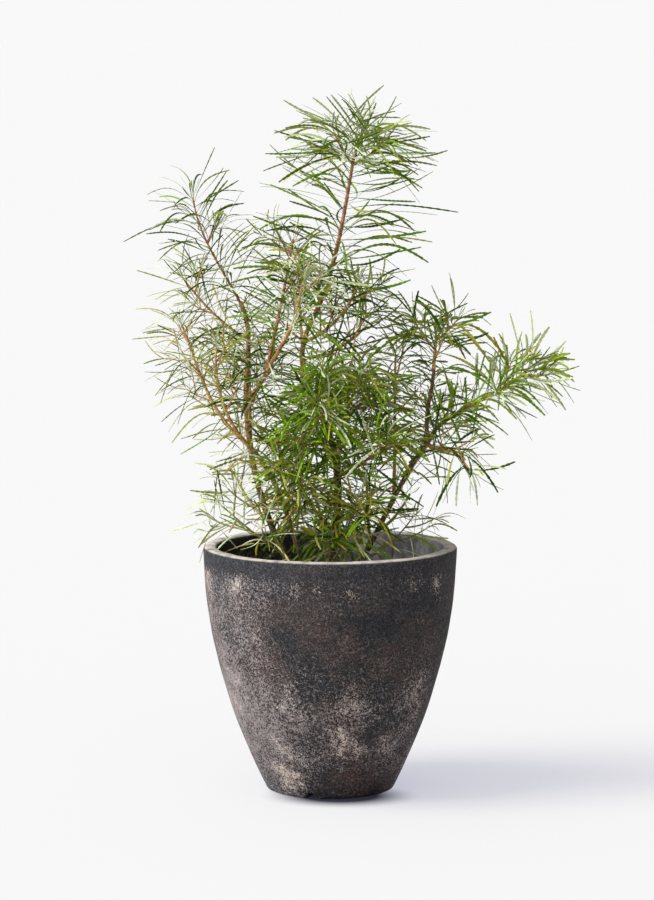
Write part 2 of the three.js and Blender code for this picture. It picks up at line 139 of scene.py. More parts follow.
rim_start = POT_HEIGHT - RIM_ROUND
foot_centre = FOOT_RADIUS - FOOT_ROUND + FOOT_SPREAD
pot_profile = [
    (0, 0),
    (FOOT_RADIUS / 2, 0),
    *arc((foot_centre, FOOT_ROUND), FOOT_ROUND, -90, -20, steps=5),
    *wall_line(WALL_START, rim_start, 0, WALL_RINGS),
    *arc((RIM_RADIUS - RIM_ROUND, rim_start), RIM_ROUND, 10, 90, steps=6),
    *arc((RIM_RADIUS - POT_WALL + RIM_ROUND, rim_start), RIM_ROUND, 90, 175, steps=6),
    *reversed(wall_line(POT_FLOOR, rim_start - RIM_ROUND, POT_WALL, WALL_RINGS // 2)),
    (0, POT_FLOOR),
]
pot_mesh = spun(pot_profile, POT_SEGMENTS)
pot_mesh.normal_update()
for vert in pot_mesh.verts:
    place = vert.co.copy()
    out = math.hypot(place.x, place.y)
    lump = POT_LUMPS * noise.noise(place / POT_LUMP_SIZE)
    edge = math.exp(-abs(POT_HEIGHT - place.z) / RIM_ROUND) + math.exp(-place.z / FOOT_ROUND)
    chip = POT_CHIPS * max(0.0, noise.noise(place / POT_CHIP_SIZE) - POT_CHIP_LEVEL) * min(1, edge)
    if place.z > ON_FLOOR:
        vert.co += vert.normal * (lump - chip - POT_LUMPS / 2)
    for notch in range(NOTCHES):
        bearing = NOTCH_BEARING + math.tau * notch / NOTCHES
        across = -place.x * math.sin(bearing) + place.y * math.cos(bearing)
        inwards = FOOT_RADIUS - (place.x * math.cos(bearing) + place.y * math.sin(bearing))
        share = 1 - (across / (NOTCH_WIDTH / 2)) ** 2
        if share > 0 and inwards < NOTCH_DEPTH:
            vert.co.z = max(vert.co.z, NOTCH_HEIGHT * math.sqrt(share))
pot_shell = finished("pot_shell", pot_mesh)


def new_material(name, **uniform):
    """A material whose Principled BSDF holds its uniform values on its own sockets."""
    made = bpy.data.materials.new(name)
    made.use_nodes = True
    shader = made.node_tree.nodes["Principled BSDF"]
    for socket, value in uniform.items():
        shader.inputs[socket.replace("_", " ")].default_value = value
    return made, shader


def is_socket(value):
    """True for a node's socket, False for a plain value."""
    return isinstance(value, bpy.types.NodeSocket)


def feed(socket, value):
    """Links a socket to another one or sets it to a value."""
    if is_socket(value):
        value.id_data.links.new(value, socket)
    else:
        socket.default_value = value


def add_node(kind, settings=None, **inputs):
    """A node in the tree of the sockets that feed it, with its settings and its other inputs' values."""
    tree = next(value.id_data for value in inputs.values() if is_socket(value))
    made = tree.nodes.new(kind)
    for key, value in (settings or {}).items():
        setattr(made, key, value)
    for key, value in inputs.items():
        numbered = key[0] == "i" and key[1:].isdigit()
        feed(made.inputs[int(key[1:]) if numbered else key.replace("_", " ")], value)
    return made


def object_spot(shader):
    """The place on a shader's piece, in metres from the part's origin."""
    return shader.id_data.nodes.new("ShaderNodeTexCoord").outputs["Object"]


def ramp(value, low, high, bottom=0.0, top=1.0, kind="SMOOTHSTEP"):
    """A value led from one level to another between two limits."""
    limits = dict(From_Min=low, From_Max=high, To_Min=bottom, To_Max=top)
    made = add_node("ShaderNodeMapRange", {"interpolation_type": kind}, Value=value, **limits)
    return made.outputs["Result"]


def vector_math(operation, *values):
    """The outputs of a sum on vectors."""
    numbered = {f"i{place}": value for place, value in enumerate(values)}
    return add_node("ShaderNodeVectorMath", {"operation": operation}, **numbered).outputs


def worked(operation, first, second=0.0, third=0.0, clamp=False):
    """The outcome of a sum on sockets or numbers."""
    settings = {"operation": operation, "use_clamp": clamp}
    return add_node("ShaderNodeMath", settings, i0=first, i1=second, i2=third).outputs[0]


def times(first, second, clamp=False):
    """The product of two masks or numbers."""
    return worked("MULTIPLY", first, second, clamp=clamp)


def varied(mask, share, least):
    """A strength that rises by a share from its least value with a mask."""
    return worked("MULTIPLY_ADD", mask, share, least)


def blended(mask, low, high):
    """A colour between two others by a mask."""
    ends = [colour if is_socket(colour) else (*colour, 1) for colour in (low, high)]
    return add_node("ShaderNodeMix", {"data_type": "RGBA"}, Factor=mask, i6=ends[0], i7=ends[1]).outputs[2]


def masked(group, vector, **inputs):
    """The mask that a node group gives for a vector."""
    return add_node("ShaderNodeGroup", {"node_tree": group}, Vector=vector, **inputs).outputs["Mask"]


def roughened(shader, height, distance):
    """Feeds a bump of so many metres to a shader."""
    bump = add_node("ShaderNodeBump", Height=height, Distance=distance)
    feed(shader.inputs["Normal"], bump.outputs["Normal"])


def start_group(name, numbers, vectors):
    """A shader node group with vectors and numbers going in and a mask coming out."""
    group = bpy.data.node_groups.new(name, "ShaderNodeTree")
    for kind, labels in (("Vector", vectors), ("Float", numbers)):
        for label in labels:
            group.interface.new_socket(label, in_out="INPUT", socket_type="NodeSocket" + kind)
    group.interface.new_socket("Mask", in_out="OUTPUT", socket_type="NodeSocketFloat")
    return group, group.nodes.new("NodeGroupInput").outputs, group.nodes.new("NodeGroupOutput").inputs


# Mottling: noise of some size that is cut off softly between two levels.
NOISE_SOCKETS = ["Scale", "Detail", "Distortion"]
mottling, given, result = start_group("mottling", [*NOISE_SOCKETS, "Low", "High"], ["Vector"])
noise_inputs = {label: given[label] for label in ("Vector", *NOISE_SOCKETS)}
grain = add_node("ShaderNodeTexNoise", Roughness=0.62, **noise_inputs).outputs["Fac"]
feed(result["Mask"], ramp(grain, given["Low"], given["High"]))

# A soft spot of some radius round a place.
soft_spot, given, result = start_group("soft_spot", ["Radius", "Strength"], ["Vector", "Centre", "Stretch"])
apart = vector_math("SUBTRACT", given["Vector"], given["Centre"])[0]
far = vector_math("LENGTH", vector_math("MULTIPLY", apart, given["Stretch"])[0])["Value"]
feed(result["Mask"], ramp(far, given["Radius"], 0.0, top=given["Strength"]))

# Patches where the clay shows: bearing from the front in degrees, height, radius, how tall, strength.
WORN_PATCHES = [
    (-45, 0.263, 0.019, 2.3, 0.66),
    (-74, 0.250, 0.032, 1.8, 0.62),
    (-16, 0.257, 0.013, 1.0, 0.55),
    (-4, 0.262, 0.013, 1.0, 0.55),
    (9, 0.258, 0.016, 1.0, 0.55),
    (22, 0.268, 0.010, 1.0, 0.50),
    (40, 0.262, 0.020, 1.2, 0.55),
    (58, 0.262, 0.026, 1.2, 0.60),
    (-38, 0.199, 0.013, 1.7, 0.60),
    (-31, 0.183, 0.011, 1.2, 0.66),
    (-14, 0.212, 0.010, 1.0, 0.50),
    (-64, 0.115, 0.050, 1.6, 0.44),
    (-24, 0.118, 0.050, 0.9, 0.46),
    (12, 0.118, 0.052, 0.8, 0.52),
    (7, 0.075, 0.030, 1.6, 1.15),
    (17, 0.062, 0.024, 1.0, 1.10),
    (-34, 0.026, 0.030, 1.4, 1.20),
    (-28, 0.060, 0.052, 1.2, 0.55),
    (54, 0.118, 0.040, 1.9, 0.60),
    (40, 0.072, 0.030, 1.2, 0.55),
    (100, 0.200, 0.060, 1.2, 0.62),
    (128, 0.080, 0.050, 1.4, 0.72),
    (165, 0.215, 0.036, 1.0, 0.52),
    (178, 0.110, 0.060, 1.1, 0.66),
    (-145, 0.060, 0.042, 1.5, 0.75),
    (-120, 0.190, 0.050, 1.3, 0.66),
    (75, 0.040, 0.034, 1.2, 0.66),
]
# Patches that stayed smoked, given the same way.
SMOKED_PATCHES = [
    (-24, 0.076, 0.022, 1.0, 0.9),
    (26, 0.078, 0.022, 1.2, 0.9),
    (8, 0.020, 0.055, 0.6, 0.9),
    (45, 0.012, 0.060, 0.5, 0.9),
    (-20, 0.215, 0.050, 1.2, 0.5),
    (30, 0.225, 0.045, 1.0, 0.6),
    (150, 0.030, 0.050, 0.8, 0.9),
    (-100, 0.110, 0.040, 1.2, 0.8),
]
RAGGED = 0.055
GRAIN_SCALE = 430.0
GRAIN_LIGHT, GRAIN_DARK = 2.7, 0.36
GRAIN_HOLLOW, GRAIN_GAIN = 0.36, 3.6
RUST_STRENGTH = 0.8
BLUE_FROM, BLUE_FULL, BLUE_STRENGTH = 0.215, 0.275, 0.7
CLEAN_UNDER_RIM, WORN_UNDER_RIM = 0.014, 0.030
DUST_HIGH, DUST_LOW = 0.20, 0.10
DUST_LEAST, DUST_MOST = 0.10, 0.36
# The left side faces the light and is painted lighter with more dust, as painted light.
LIT_SIDE_EDGE, LIT_SIDE_DUST = -0.13, 0.48
DUST_ON_WEAR, SMOKE_OVER_DUST = 0.6, 0.5
DUST_LEVEL, DUST_GAIN, DUST_STRENGTH = 1.0, 3.2, 0.85
BARE_LEVEL, BARE_GAIN, BARE_RELIEF = 1.02, 3.6, 0.3
WALL_CORE, WALL_FACE = 0.6, 0.9
INSIDE_FROM, INSIDE_FULL = 0.20, 0.24
# The inner wall's grey is painted light on the right side and painted shade on the left side.
INSIDE_SHADED_SIDE, INSIDE_LIT_SIDE = -0.05, 0.06
# The rim's top is painted lighter: rubbed dust, and a painted highlight where the light falls.
RIM_TOP_FROM, RIM_TOP_FULL, RIM_TOP_STRENGTH = 0.0026, 0.0008, 0.95
POT_RELIEF = 0.0005
CHARCOAL = (0.017, 0.017, 0.020)
BLUE_SMOKE = (0.022, 0.023, 0.028)
SMOKE_BROWN = (0.046, 0.035, 0.032)
RUST_SHADE = (0.045, 0.026, 0.024)
CLAY_DUST = (0.258, 0.226, 0.230)
INSIDE_LIT_GREY = (0.360, 0.355, 0.370)
BARE_CLAY = (0.50, 0.405, 0.345)
RIM_DUST_AND_HIGHLIGHT = (0.50, 0.465, 0.43)


def patches_mask(spot, patches):
    """The strongest of some ragged spots on the pot's outer face."""
    strongest = 0.0
    for bearing, up, radius, tall, strength in patches:
        turn = math.radians(bearing)
        out = pot_radius(up)
        centre = (out * math.sin(turn), -out * math.cos(turn), up)
        stretch = (1, 1, 1 / tall)
        patch = masked(soft_spot, spot, Centre=centre, Radius=radius, Strength=strength, Stretch=stretch)
        strongest = worked("MAXIMUM", patch, strongest)
    return strongest


terracotta, shader = new_material("terracotta", Roughness=0.78, Specular_IOR_Level=0.22)
spot = object_spot(shader)
apart = add_node("ShaderNodeSeparateXYZ", Vector=spot).outputs
height = apart["Z"]
browned = masked(mottling, spot, Scale=16, Detail=9, Low=0.36, High=0.62)
rusted = masked(mottling, spot, Scale=15, Detail=9, Low=0.52, High=0.66)
body = blended(browned, CHARCOAL, SMOKE_BROWN)
body = blended(times(rusted, RUST_STRENGTH), body, RUST_SHADE)
body = blended(ramp(height, BLUE_FROM, BLUE_FULL, top=BLUE_STRENGTH), body, BLUE_SMOKE)
swirl = add_node("ShaderNodeTexNoise", Vector=spot, Scale=42.0, Detail=4.0, Roughness=0.65)
swirl = vector_math("SUBTRACT", swirl.outputs["Color"], (0.5, 0.5, 0.5))[0]
ragged = vector_math("MULTIPLY_ADD", swirl, (RAGGED,) * 3, spot)[0]
smoked = patches_mask(ragged, SMOKED_PATCHES)
cloud = masked(mottling, spot, Scale=36, Detail=4, Low=0.36, High=0.64)
band = ramp(height, POT_HEIGHT - CLEAN_UNDER_RIM, POT_HEIGHT - WORN_UNDER_RIM)
wear = times(patches_mask(ragged, WORN_PATCHES), varied(cloud, share=0.7, least=0.5))
# Dust is thickest on the lower half; the left side, which faces the light, is painted lighter with more dust
# as painted light.
settled = ramp(height, DUST_HIGH, DUST_LOW, DUST_LEAST, DUST_MOST)
lit_side_dust = ramp(apart["X"], 0.0, LIT_SIDE_EDGE, top=LIT_SIDE_DUST)
dusty = times(worked("ADD", settled, lit_side_dust), varied(cloud, share=0.45, least=0.74))
dusty = times(worked("ADD", dusty, times(wear, DUST_ON_WEAR)), band)
dusty = worked("SUBTRACT", dusty, times(smoked, SMOKE_OVER_DUST))
# One worm-like grain runs all over: its dark hollows stay smoked, its peaks lose their colour first.
grain = add_node(
    "ShaderNodeTexNoise", Vector=spot, Scale=GRAIN_SCALE, Detail=2.5, Roughness=0.62, Distortion=1.4,
).outputs["Fac"]
grain = times(worked("SUBTRACT", grain, GRAIN_HOLLOW), GRAIN_GAIN, clamp=True)
shade = varied(times(grain, grain), share=GRAIN_LIGHT, least=GRAIN_DARK)
body = add_node("ShaderNodeVectorMath", {"operation": "SCALE"}, i0=body, Scale=shade).outputs[0]
peaks = worked("SUBTRACT", worked("ADD", grain, dusty), DUST_LEVEL)
dust = times(peaks, DUST_GAIN, clamp=True)
body = blended(times(dust, DUST_STRENGTH), body, CLAY_DUST)
# Bare clay shows on the peaks too, and they grow together where the wear is strong.
coarse = masked(mottling, spot, Scale=150, Detail=3, Low=0.34, High=0.66)
worn = times(worked("SUBTRACT", wear, smoked), varied(coarse, share=0.6, least=0.6))
peaks = worked("SUBTRACT", worked("ADD", grain, worn), BARE_LEVEL)
bare = times(times(peaks, BARE_GAIN, clamp=True), band)
body = blended(bare, body, BARE_CLAY)
# Inside, the wall above the soil is grey where painted lit on the right, where the light from the left falls,
# and left in painted shade on the left.
flat_spot = add_node("ShaderNodeCombineXYZ", X=apart["X"], Y=apart["Y"]).outputs[0]
from_axis = vector_math("LENGTH", flat_spot)["Value"]
inside = ramp(from_axis, RIM_RADIUS - POT_WALL * WALL_CORE, RIM_RADIUS - POT_WALL * WALL_FACE)
inside = times(inside, ramp(height, INSIDE_FROM, INSIDE_FULL))
inside = times(inside, ramp(apart["X"], INSIDE_SHADED_SIDE, INSIDE_LIT_SIDE))
body = blended(times(inside, varied(cloud, share=0.7, least=0.3)), body, INSIDE_LIT_GREY)
# The rim's flat top is rubbed and dusty, and painted lighter as a highlight where the light falls on it.
rubbed = masked(mottling, spot, Scale=60, Detail=4, Low=0.30, High=0.62)
rim_top_highlight = ramp(height, POT_HEIGHT - RIM_TOP_FROM, POT_HEIGHT - RIM_TOP_FULL, top=RIM_TOP_STRENGTH)
body = blended(times(rim_top_highlight, varied(rubbed, share=0.6, least=0.4)), body, RIM_DUST_AND_HIGHLIGHT)
feed(shader.inputs["Base Color"], body)
roughened(shader, varied(bare, share=BARE_RELIEF, least=grain), POT_RELIEF)
pot_shell.data.materials.append(terracotta)
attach(pot_shell, "root")
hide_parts("pot")

# The soil
# Dark, moist potting mix that fills the pot to about three fingers' width under the rim, a little
# higher round the stems, with chips of composted bark strewn over it.
SOIL_BELOW = 0.046
SOIL_DOME = 0.005
SOIL_SHOULDER = 0.6
SOIL_SHOULDER_RISE = 0.8
SOIL_LUMPS = 0.0022
SOIL_LUMP_SIZE = 0.011
SOIL_LUMP_DETAIL = (0.9, 2.1, 4)
SOIL_EDGE_FALL = 12
SOIL_RINGS = 46
SOIL_SEGMENTS = 192
SOIL_DEPTH = 0.03
GAP = 0.0003
CHIPS = 1100
CHIP_LONG = (0.004, 0.013)
CHIP_BROAD = (0.45, 0.8)
CHIP_THICK = (0.18, 0.35)
CHIPS_REACH = 0.97
CHIP_RISE = 0.2
CHIP_TILT = 0.3
CHIP_RAGGED = 0.09

ground = POT_HEIGHT - SOIL_BELOW
soil_edge = pot_radius(ground) - POT_WALL - GAP


def soil_height(out):
    """The height of the soil's dome so far from the middle."""
    shares = (0, SOIL_SHOULDER, 1)
    rises = (SOIL_DOME, SOIL_DOME * SOIL_SHOULDER_RISE, 0)
    return ground + float(np.interp(out / soil_edge, shares, rises))


floor_height = ground - SOIL_DEPTH
top_line = [(out, soil_height(out)) for out in np.linspace(0, soil_edge, SOIL_RINGS + 1)]
deep_line = [(pot_radius(floor_height) - POT_WALL - GAP, floor_height), (0, floor_height)]
soil_mesh = spun([*top_line, *deep_line], SOIL_SEGMENTS)
for vert in soil_mesh.verts:
    inside = 1 - math.hypot(vert.co.x, vert.co.y) / soil_edge
    if vert.co.z > ground - SOIL_DEPTH / 2:
        lump = noise.fractal(vert.co / SOIL_LUMP_SIZE, *SOIL_LUMP_DETAIL)
        vert.co.z += SOIL_LUMPS * lump * min(1, inside * SOIL_EDGE_FALL) - SOIL_LUMPS / 2
soil_top = finished("soil_top", soil_mesh)


def mottled(name, grain, dark, light, bump=0.0, **uniform):
    """A material mottled between two colours, with a bump of so many metres."""
    made, shader = new_material(name, **uniform)
    mask = masked(mottling, object_spot(shader), **grain)
    feed(shader.inputs["Base Color"], blended(mask, dark, light))
    if bump:
        roughened(shader, mask, bump)
    return made, shader


SOIL_DARK = (0.022, 0.015, 0.010)
SOIL_LIGHT = (0.075, 0.048, 0.030)
crumbs = dict(Scale=240, Detail=5, Distortion=0.4, Low=0.42, High=0.66)
potting_mix, _ = mottled("potting_mix", crumbs, SOIL_DARK, SOIL_LIGHT, bump=0.0015, Roughness=0.95)
soil_top.data.materials.append(potting_mix)
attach(soil_top, "root")
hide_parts("soil")

chance = np.random.default_rng(7)
chip_mesh = bmesh.new()
for _ in range(CHIPS):
    long = chance.uniform(*CHIP_LONG)
    out = soil_edge * CHIPS_REACH * math.sqrt(chance.uniform())
    bearing = chance.uniform(0, math.tau)
    size = (long, long * chance.uniform(*CHIP_BROAD), long * chance.uniform(*CHIP_THICK))
    out = min(out, soil_edge - long)
    rise = soil_height(out) + size[2] * CHIP_RISE
    turned = Matrix.Rotation(chance.uniform(0, math.tau), 4, "Z")
    tilted = Matrix.Rotation(chance.normal(0, CHIP_TILT), 4, "X")
    place = Matrix.Translation((out * math.cos(bearing), out * math.sin(bearing), rise))
    shape = place @ (turned @ tilted) @ Matrix.Diagonal((*size, 1))
    chip = bmesh.ops.create_cube(chip_mesh, size=1.0, matrix=shape)
    for vert in chip["verts"]:
        vert.co += Vector(chance.normal(0, long * CHIP_RAGGED, 3))
bark_chips = finished("bark_chips", chip_mesh, smooth=False)
CHIP_DARK = (0.035, 0.021, 0.013)
CHIP_LIGHT = (0.150, 0.088, 0.050)
fibres = dict(Scale=90, Detail=3, Low=0.35, High=0.70)
chip_wood, _ = mottled("chip_wood", fibres, CHIP_DARK, CHIP_LIGHT, bump=0.0004, Roughness=0.9)
bark_chips.data.materials.append(chip_wood)
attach(bark_chips, "root")
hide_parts("soil")

# The trunk, stems and boughs
# Slender wood that rises from the soil as a trunk and three stems and forks into five boughs. Each
# is one tapering limb along a curve, with furrowed bark and the scars that fallen leaves left.
MM = 0.001
LIMBS = {
    "trunk": dict(foot=(-6, 0), sets_off=(0.24, 0, 0.99),
        tip=(4, 0, 410), arrives=(-0.22, 0.03, 0.95), radii=(5.4, 4.1)),
    "stem_left": dict(foot=(-37, 2), sets_off=(-0.6, -0.14, 1.1),
        tip=(-100, 8, 467), arrives=(-0.04, 0.14, 0.96), radii=(4.2, 3.2)),
    "stem_left_front": dict(foot=(-22, -14), sets_off=(-0.47, -0.35, 1.19),
        tip=(-106, -25, 425), arrives=(-0.77, 0.08, 0.64), radii=(3.3, 2.4)),
    "stem_right": dict(foot=(22, 0), sets_off=(0.52, 0, 0.82),
        tip=(125, -20, 434), arrives=(0.6, 0, 0.78), radii=(3.4, 2.5)),
    "bough_leader": dict(on="trunk", at=1,
        tip=(-23, 20, 558), arrives=(0.6, -0.1, 1.19), radii=(3.8, 2.8)),
    "bough_left_high": dict(on="stem_left", at=1,
        tip=(-107, 15, 583), arrives=(-0.45, 0.03, 0.85), radii=(3, 2.4)),
    "bough_left_inner": dict(on="stem_left", at=0.93, sets_off=(0.25, -0.7, 0.75),
        tip=(-54, -60, 543), arrives=(0.5, -0.2, 0.85), radii=(2.4, 2.1)),
    "bough_right_low": dict(on="stem_right", at=1,
        tip=(162, -23, 461), arrives=(0.85, -0.03, 0.5), radii=(2.4, 2.2)),
    "bough_right_high": dict(on="stem_right", at=0.94, sets_off=(-0.3, 0.35, 0.9),
        tip=(123, -10, 505), arrives=(0.03, 0.06, 1), radii=(2.2, 2)),
}
FLARE_SHARE = 0.8
FLARE_HEIGHT = 9 * MM
CURVE_STEPS = 200
BARK_SIDES = 22
BARK_STEP = 1.3 * MM
SCAR_EVERY = 5.5 * MM
SCAR_SIZE = 1.3 * MM
SCAR_RISE = 0.55 * MM
SCAR_FALL_ROUND, SCAR_FALL_ALONG = 2.2, 1.6
FURROW_DEPTH = 0.22 * MM
FURROWS_ROUND, FURROWS_ALONG = 1.6, 0.16
KNOB_DEPTH = 0.5 * MM
KNOBS_ROUND, KNOBS_ALONG = 0.3, 0.11
GOLDEN_TURN = math.radians(137.5)
UP = np.array((0.0, 0.0, 1.0))
BACK = np.array((0.0, 1.0, 0.0))


def unit(vectors):
    """Vectors of the same direction and a length of one."""
    vectors = np.asarray(vectors, float)
    return vectors / np.linalg.norm(vectors, axis=-1, keepdims=True)


def course(start, sets_off, tip, arrives):
    """Even steps along a cubic curve that sets off along one vector and arrives along another."""
    third = np.linalg.norm(tip - start) / 3
    t = np.linspace(0, 1, CURVE_STEPS + 1)[:, None]
    hold = start + sets_off * third
    pull = tip - arrives * third
    points = (1 - t) ** 3 * start + 3 * (1 - t) ** 2 * t * hold + 3 * (1 - t) * t ** 2 * pull + t ** 3 * tip
    reach = np.concatenate([[0], np.cumsum(np.linalg.norm(np.diff(points, axis=0), axis=1))])
    even = np.linspace(0, reach[-1], CURVE_STEPS + 1)
    return np.column_stack([np.interp(even, reach, points[:, axis]) for axis in range(3)])


def length_of(curve):
    """A curve's length."""
    return np.linalg.norm(np.diff(curve, axis=0), axis=1).sum()


def place_on(curve, share):
    """The point or points at a share of a curve's length."""
    steps = np.asarray(share, float) * CURVE_STEPS
    return np.stack([np.interp(steps, range(CURVE_STEPS + 1), curve[:, axis]) for axis in range(3)], axis=-1)


def heading_on(curve, share):
    """The direction or directions of growth at a share of a curve's length."""
    share = np.asarray(share, float)
    step = 1 / CURVE_STEPS
    return unit(place_on(curve, np.minimum(share + step, 1)) - place_on(curve, np.maximum(share - step, 0)))


def frames_on(curve, shares):
    """Two directions across a curve at each share, turned no more than the curve turns."""
    headings = heading_on(curve, shares)
    side = unit(np.cross(headings[0], BACK))
    sides = []
    for heading in headings:
        side = unit(side - heading * np.dot(side, heading))
        sides.append(side)
    sides = np.array(sides)
    return sides, np.cross(headings, sides)


limbs = {}
for name, spec in LIMBS.items():
    parent = limbs.get(spec.get("on"))
    at = spec.get("at")
    if parent:
        start = place_on(parent["curve"], at)
        sets_off = np.array(spec["sets_off"]) if "sets_off" in spec else heading_on(parent["curve"], 1)
    else:
        start = np.array((*np.array(spec["foot"]) * MM, ground))
        sets_off = np.array(spec["sets_off"])
    if at == 1:
        start = start + sets_off * GAP
    curve = course(start, sets_off, np.array(spec["tip"]) * MM, np.array(spec["arrives"]))
    limbs[name] = dict(curve=curve, radii=np.array(spec["radii"]) * MM, grounded=parent is None)


def bark_relief(along, around_it, radius):
    """How far the bark stands out at a distance along a limb and an angle round it."""
    across = Vector((math.cos(around_it), math.sin(around_it), 0)) * radius / MM
    along_mm = along / MM
    furrow_spot = (across.x * FURROWS_ROUND, across.y * FURROWS_ROUND, along_mm * FURROWS_ALONG)
    knob_spot = (across.x * KNOBS_ROUND, across.y * KNOBS_ROUND, along_mm * KNOBS_ALONG)
    relief = FURROW_DEPTH * noise.noise(Vector(furrow_spot)) + KNOB_DEPTH * noise.noise(Vector(knob_spot))
    first = int(along / SCAR_EVERY) - 1
    scar = 0.0
    for count in range(max(0, first), first + 4):
        apart = math.remainder(around_it - count * GOLDEN_TURN, math.tau) * radius / SCAR_SIZE
        off = (along - (count + 0.5) * SCAR_EVERY) / SCAR_SIZE
        scar += math.exp(-apart * apart / SCAR_FALL_ROUND - off * off * SCAR_FALL_ALONG)
    return relief + SCAR_RISE * scar


def bark_tube(limb):
    """A closed tapered tube: a cylinder whose rings are moved onto the limb's curve and roughened."""
    curve, radii = limb["curve"], limb["radii"]
    length = length_of(curve)
    rings = round(length / BARK_STEP)
    bm = bmesh.new()
    bmesh.ops.create_cone(bm, cap_ends=True, segments=BARK_SIDES, radius1=1, radius2=1, depth=1)
    upright = [edge for edge in bm.edges if abs(edge.verts[0].co.z - edge.verts[1].co.z) > 0.5]
    bmesh.ops.subdivide_edges(bm, edges=upright, cuts=rings - 1, use_grid_fill=True)
    shares = np.linspace(0, 1, rings + 1)
    centres = place_on(curve, shares)
    sides, lifts = frames_on(curve, shares)
    for vert in bm.verts:
        ring = round((vert.co.z + 0.5) * rings)
        angle = math.atan2(vert.co.y, vert.co.x)
        along = length * shares[ring]
        flare = FLARE_SHARE * radii[0] * math.exp(-along / FLARE_HEIGHT) if limb["grounded"] else 0
        radius = np.interp(shares[ring], (0, 1), radii) + flare
        radius += bark_relief(along, angle, radius)
        vert.co = centres[ring] + (sides[ring] * math.cos(angle) + lifts[ring] * math.sin(angle)) * radius
    bmesh.ops.recalc_face_normals(bm, faces=bm.faces)
    return bm


OLD_BARK = (0.135, 0.080, 0.052)
DARK_BARK = (0.026, 0.017, 0.013)
YOUNG_BARK = (0.380, 0.200, 0.062)
SUNBURNT_BARK = (0.140, 0.066, 0.038)
MOSS = (0.050, 0.058, 0.018)
SCAR_DUST = (0.50, 0.34, 0.21)
OLD_UNDER, YOUNG_OVER = 0.34, 0.46
SUNNY_FROM, SUNNY_FULL = -0.03, 0.03
MOSS_FROM, MOSS_FULL, MOSS_STRENGTH = 0.44, 0.30, 0.75
CRACK_AND_SHADE_STRENGTH, FLECK_STRENGTH = 0.8, 0.6
BARK_RELIEF = 0.0003
bark, shader = new_material("bark", Roughness=0.8, Specular_IOR_Level=0.3)
spot = object_spot(shader)
apart = add_node("ShaderNodeSeparateXYZ", Vector=spot).outputs
height = apart["Z"]
young = ramp(height, OLD_UNDER, YOUNG_OVER, kind="LINEAR")
body = blended(ramp(apart["X"], SUNNY_FROM, SUNNY_FULL), YOUNG_BARK, SUNBURNT_BARK)
body = blended(young, OLD_BARK, body)
mossy = masked(mottling, spot, Scale=34, Detail=3, Low=0.46, High=0.66)
low_down = ramp(height, MOSS_FROM, MOSS_FULL, top=MOSS_STRENGTH, kind="LINEAR")
body = blended(times(mossy, low_down), body, MOSS)
# Dark patches: cracks in the bark, and painted shade in its furrows.
cracks_and_shade = masked(mottling, spot, Scale=170, Detail=4, Distortion=0.6, Low=0.46, High=0.60)
body = blended(times(cracks_and_shade, CRACK_AND_SHADE_STRENGTH), body, DARK_BARK)
fleck = masked(mottling, spot, Scale=330, Detail=2, Distortion=0.3, Low=0.56, High=0.68)
body = blended(times(fleck, FLECK_STRENGTH), body, SCAR_DUST)
feed(shader.inputs["Base Color"], body)
roughened(shader, fleck, BARK_RELIEF)

for name, limb in limbs.items():
    wood = finished(name + "_bark", bark_tube(limb))
    wood.data.materials.append(bark)
    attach(wood, "root")
    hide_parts(name)

# The shoots
# Leafy young growth: a stem that carries on from its limb, side twigs at the golden angle, each bent
# up towards the light, and finer twigs on those. Green or amber at first, they redden in the sun.
SPLAY_WIDE, SPLAY_TIP = 76, 42
LEVEL = 0.7
# What a shoot has unless it says otherwise: how thick its stem is, its twigs, the share up it where
# they start, the finer twigs on each, the wood, and the tint of its leaves. Then how dense, long and
# broad the leaves are, the share of young ones, their splay at the foot and the tip in degrees, how
# far they keep their rise, and how far they droop.
USUAL_SHOOT = dict(
    thick=1, twigs=3, fork=0.3, finer=1, wood="amber", tint="deep", dense=1, leaf=1, stem_leaf=1,
    broad=0.8, youth=0.35, wide=SPLAY_WIDE, spread=SPLAY_TIP, level=LEVEL, droop=0,
)


def shoot(on, at, bearing, rise, length, curl, reach, **own):
    """A shoot's limb and the share up it, how it runs, its twigs' reach, and what isn't the usual."""
    route = dict(on=on, at=at, bearing=bearing, rise=rise, length=length, curl=curl, reach=reach)
    return {**USUAL_SHOOT, **route, **own}


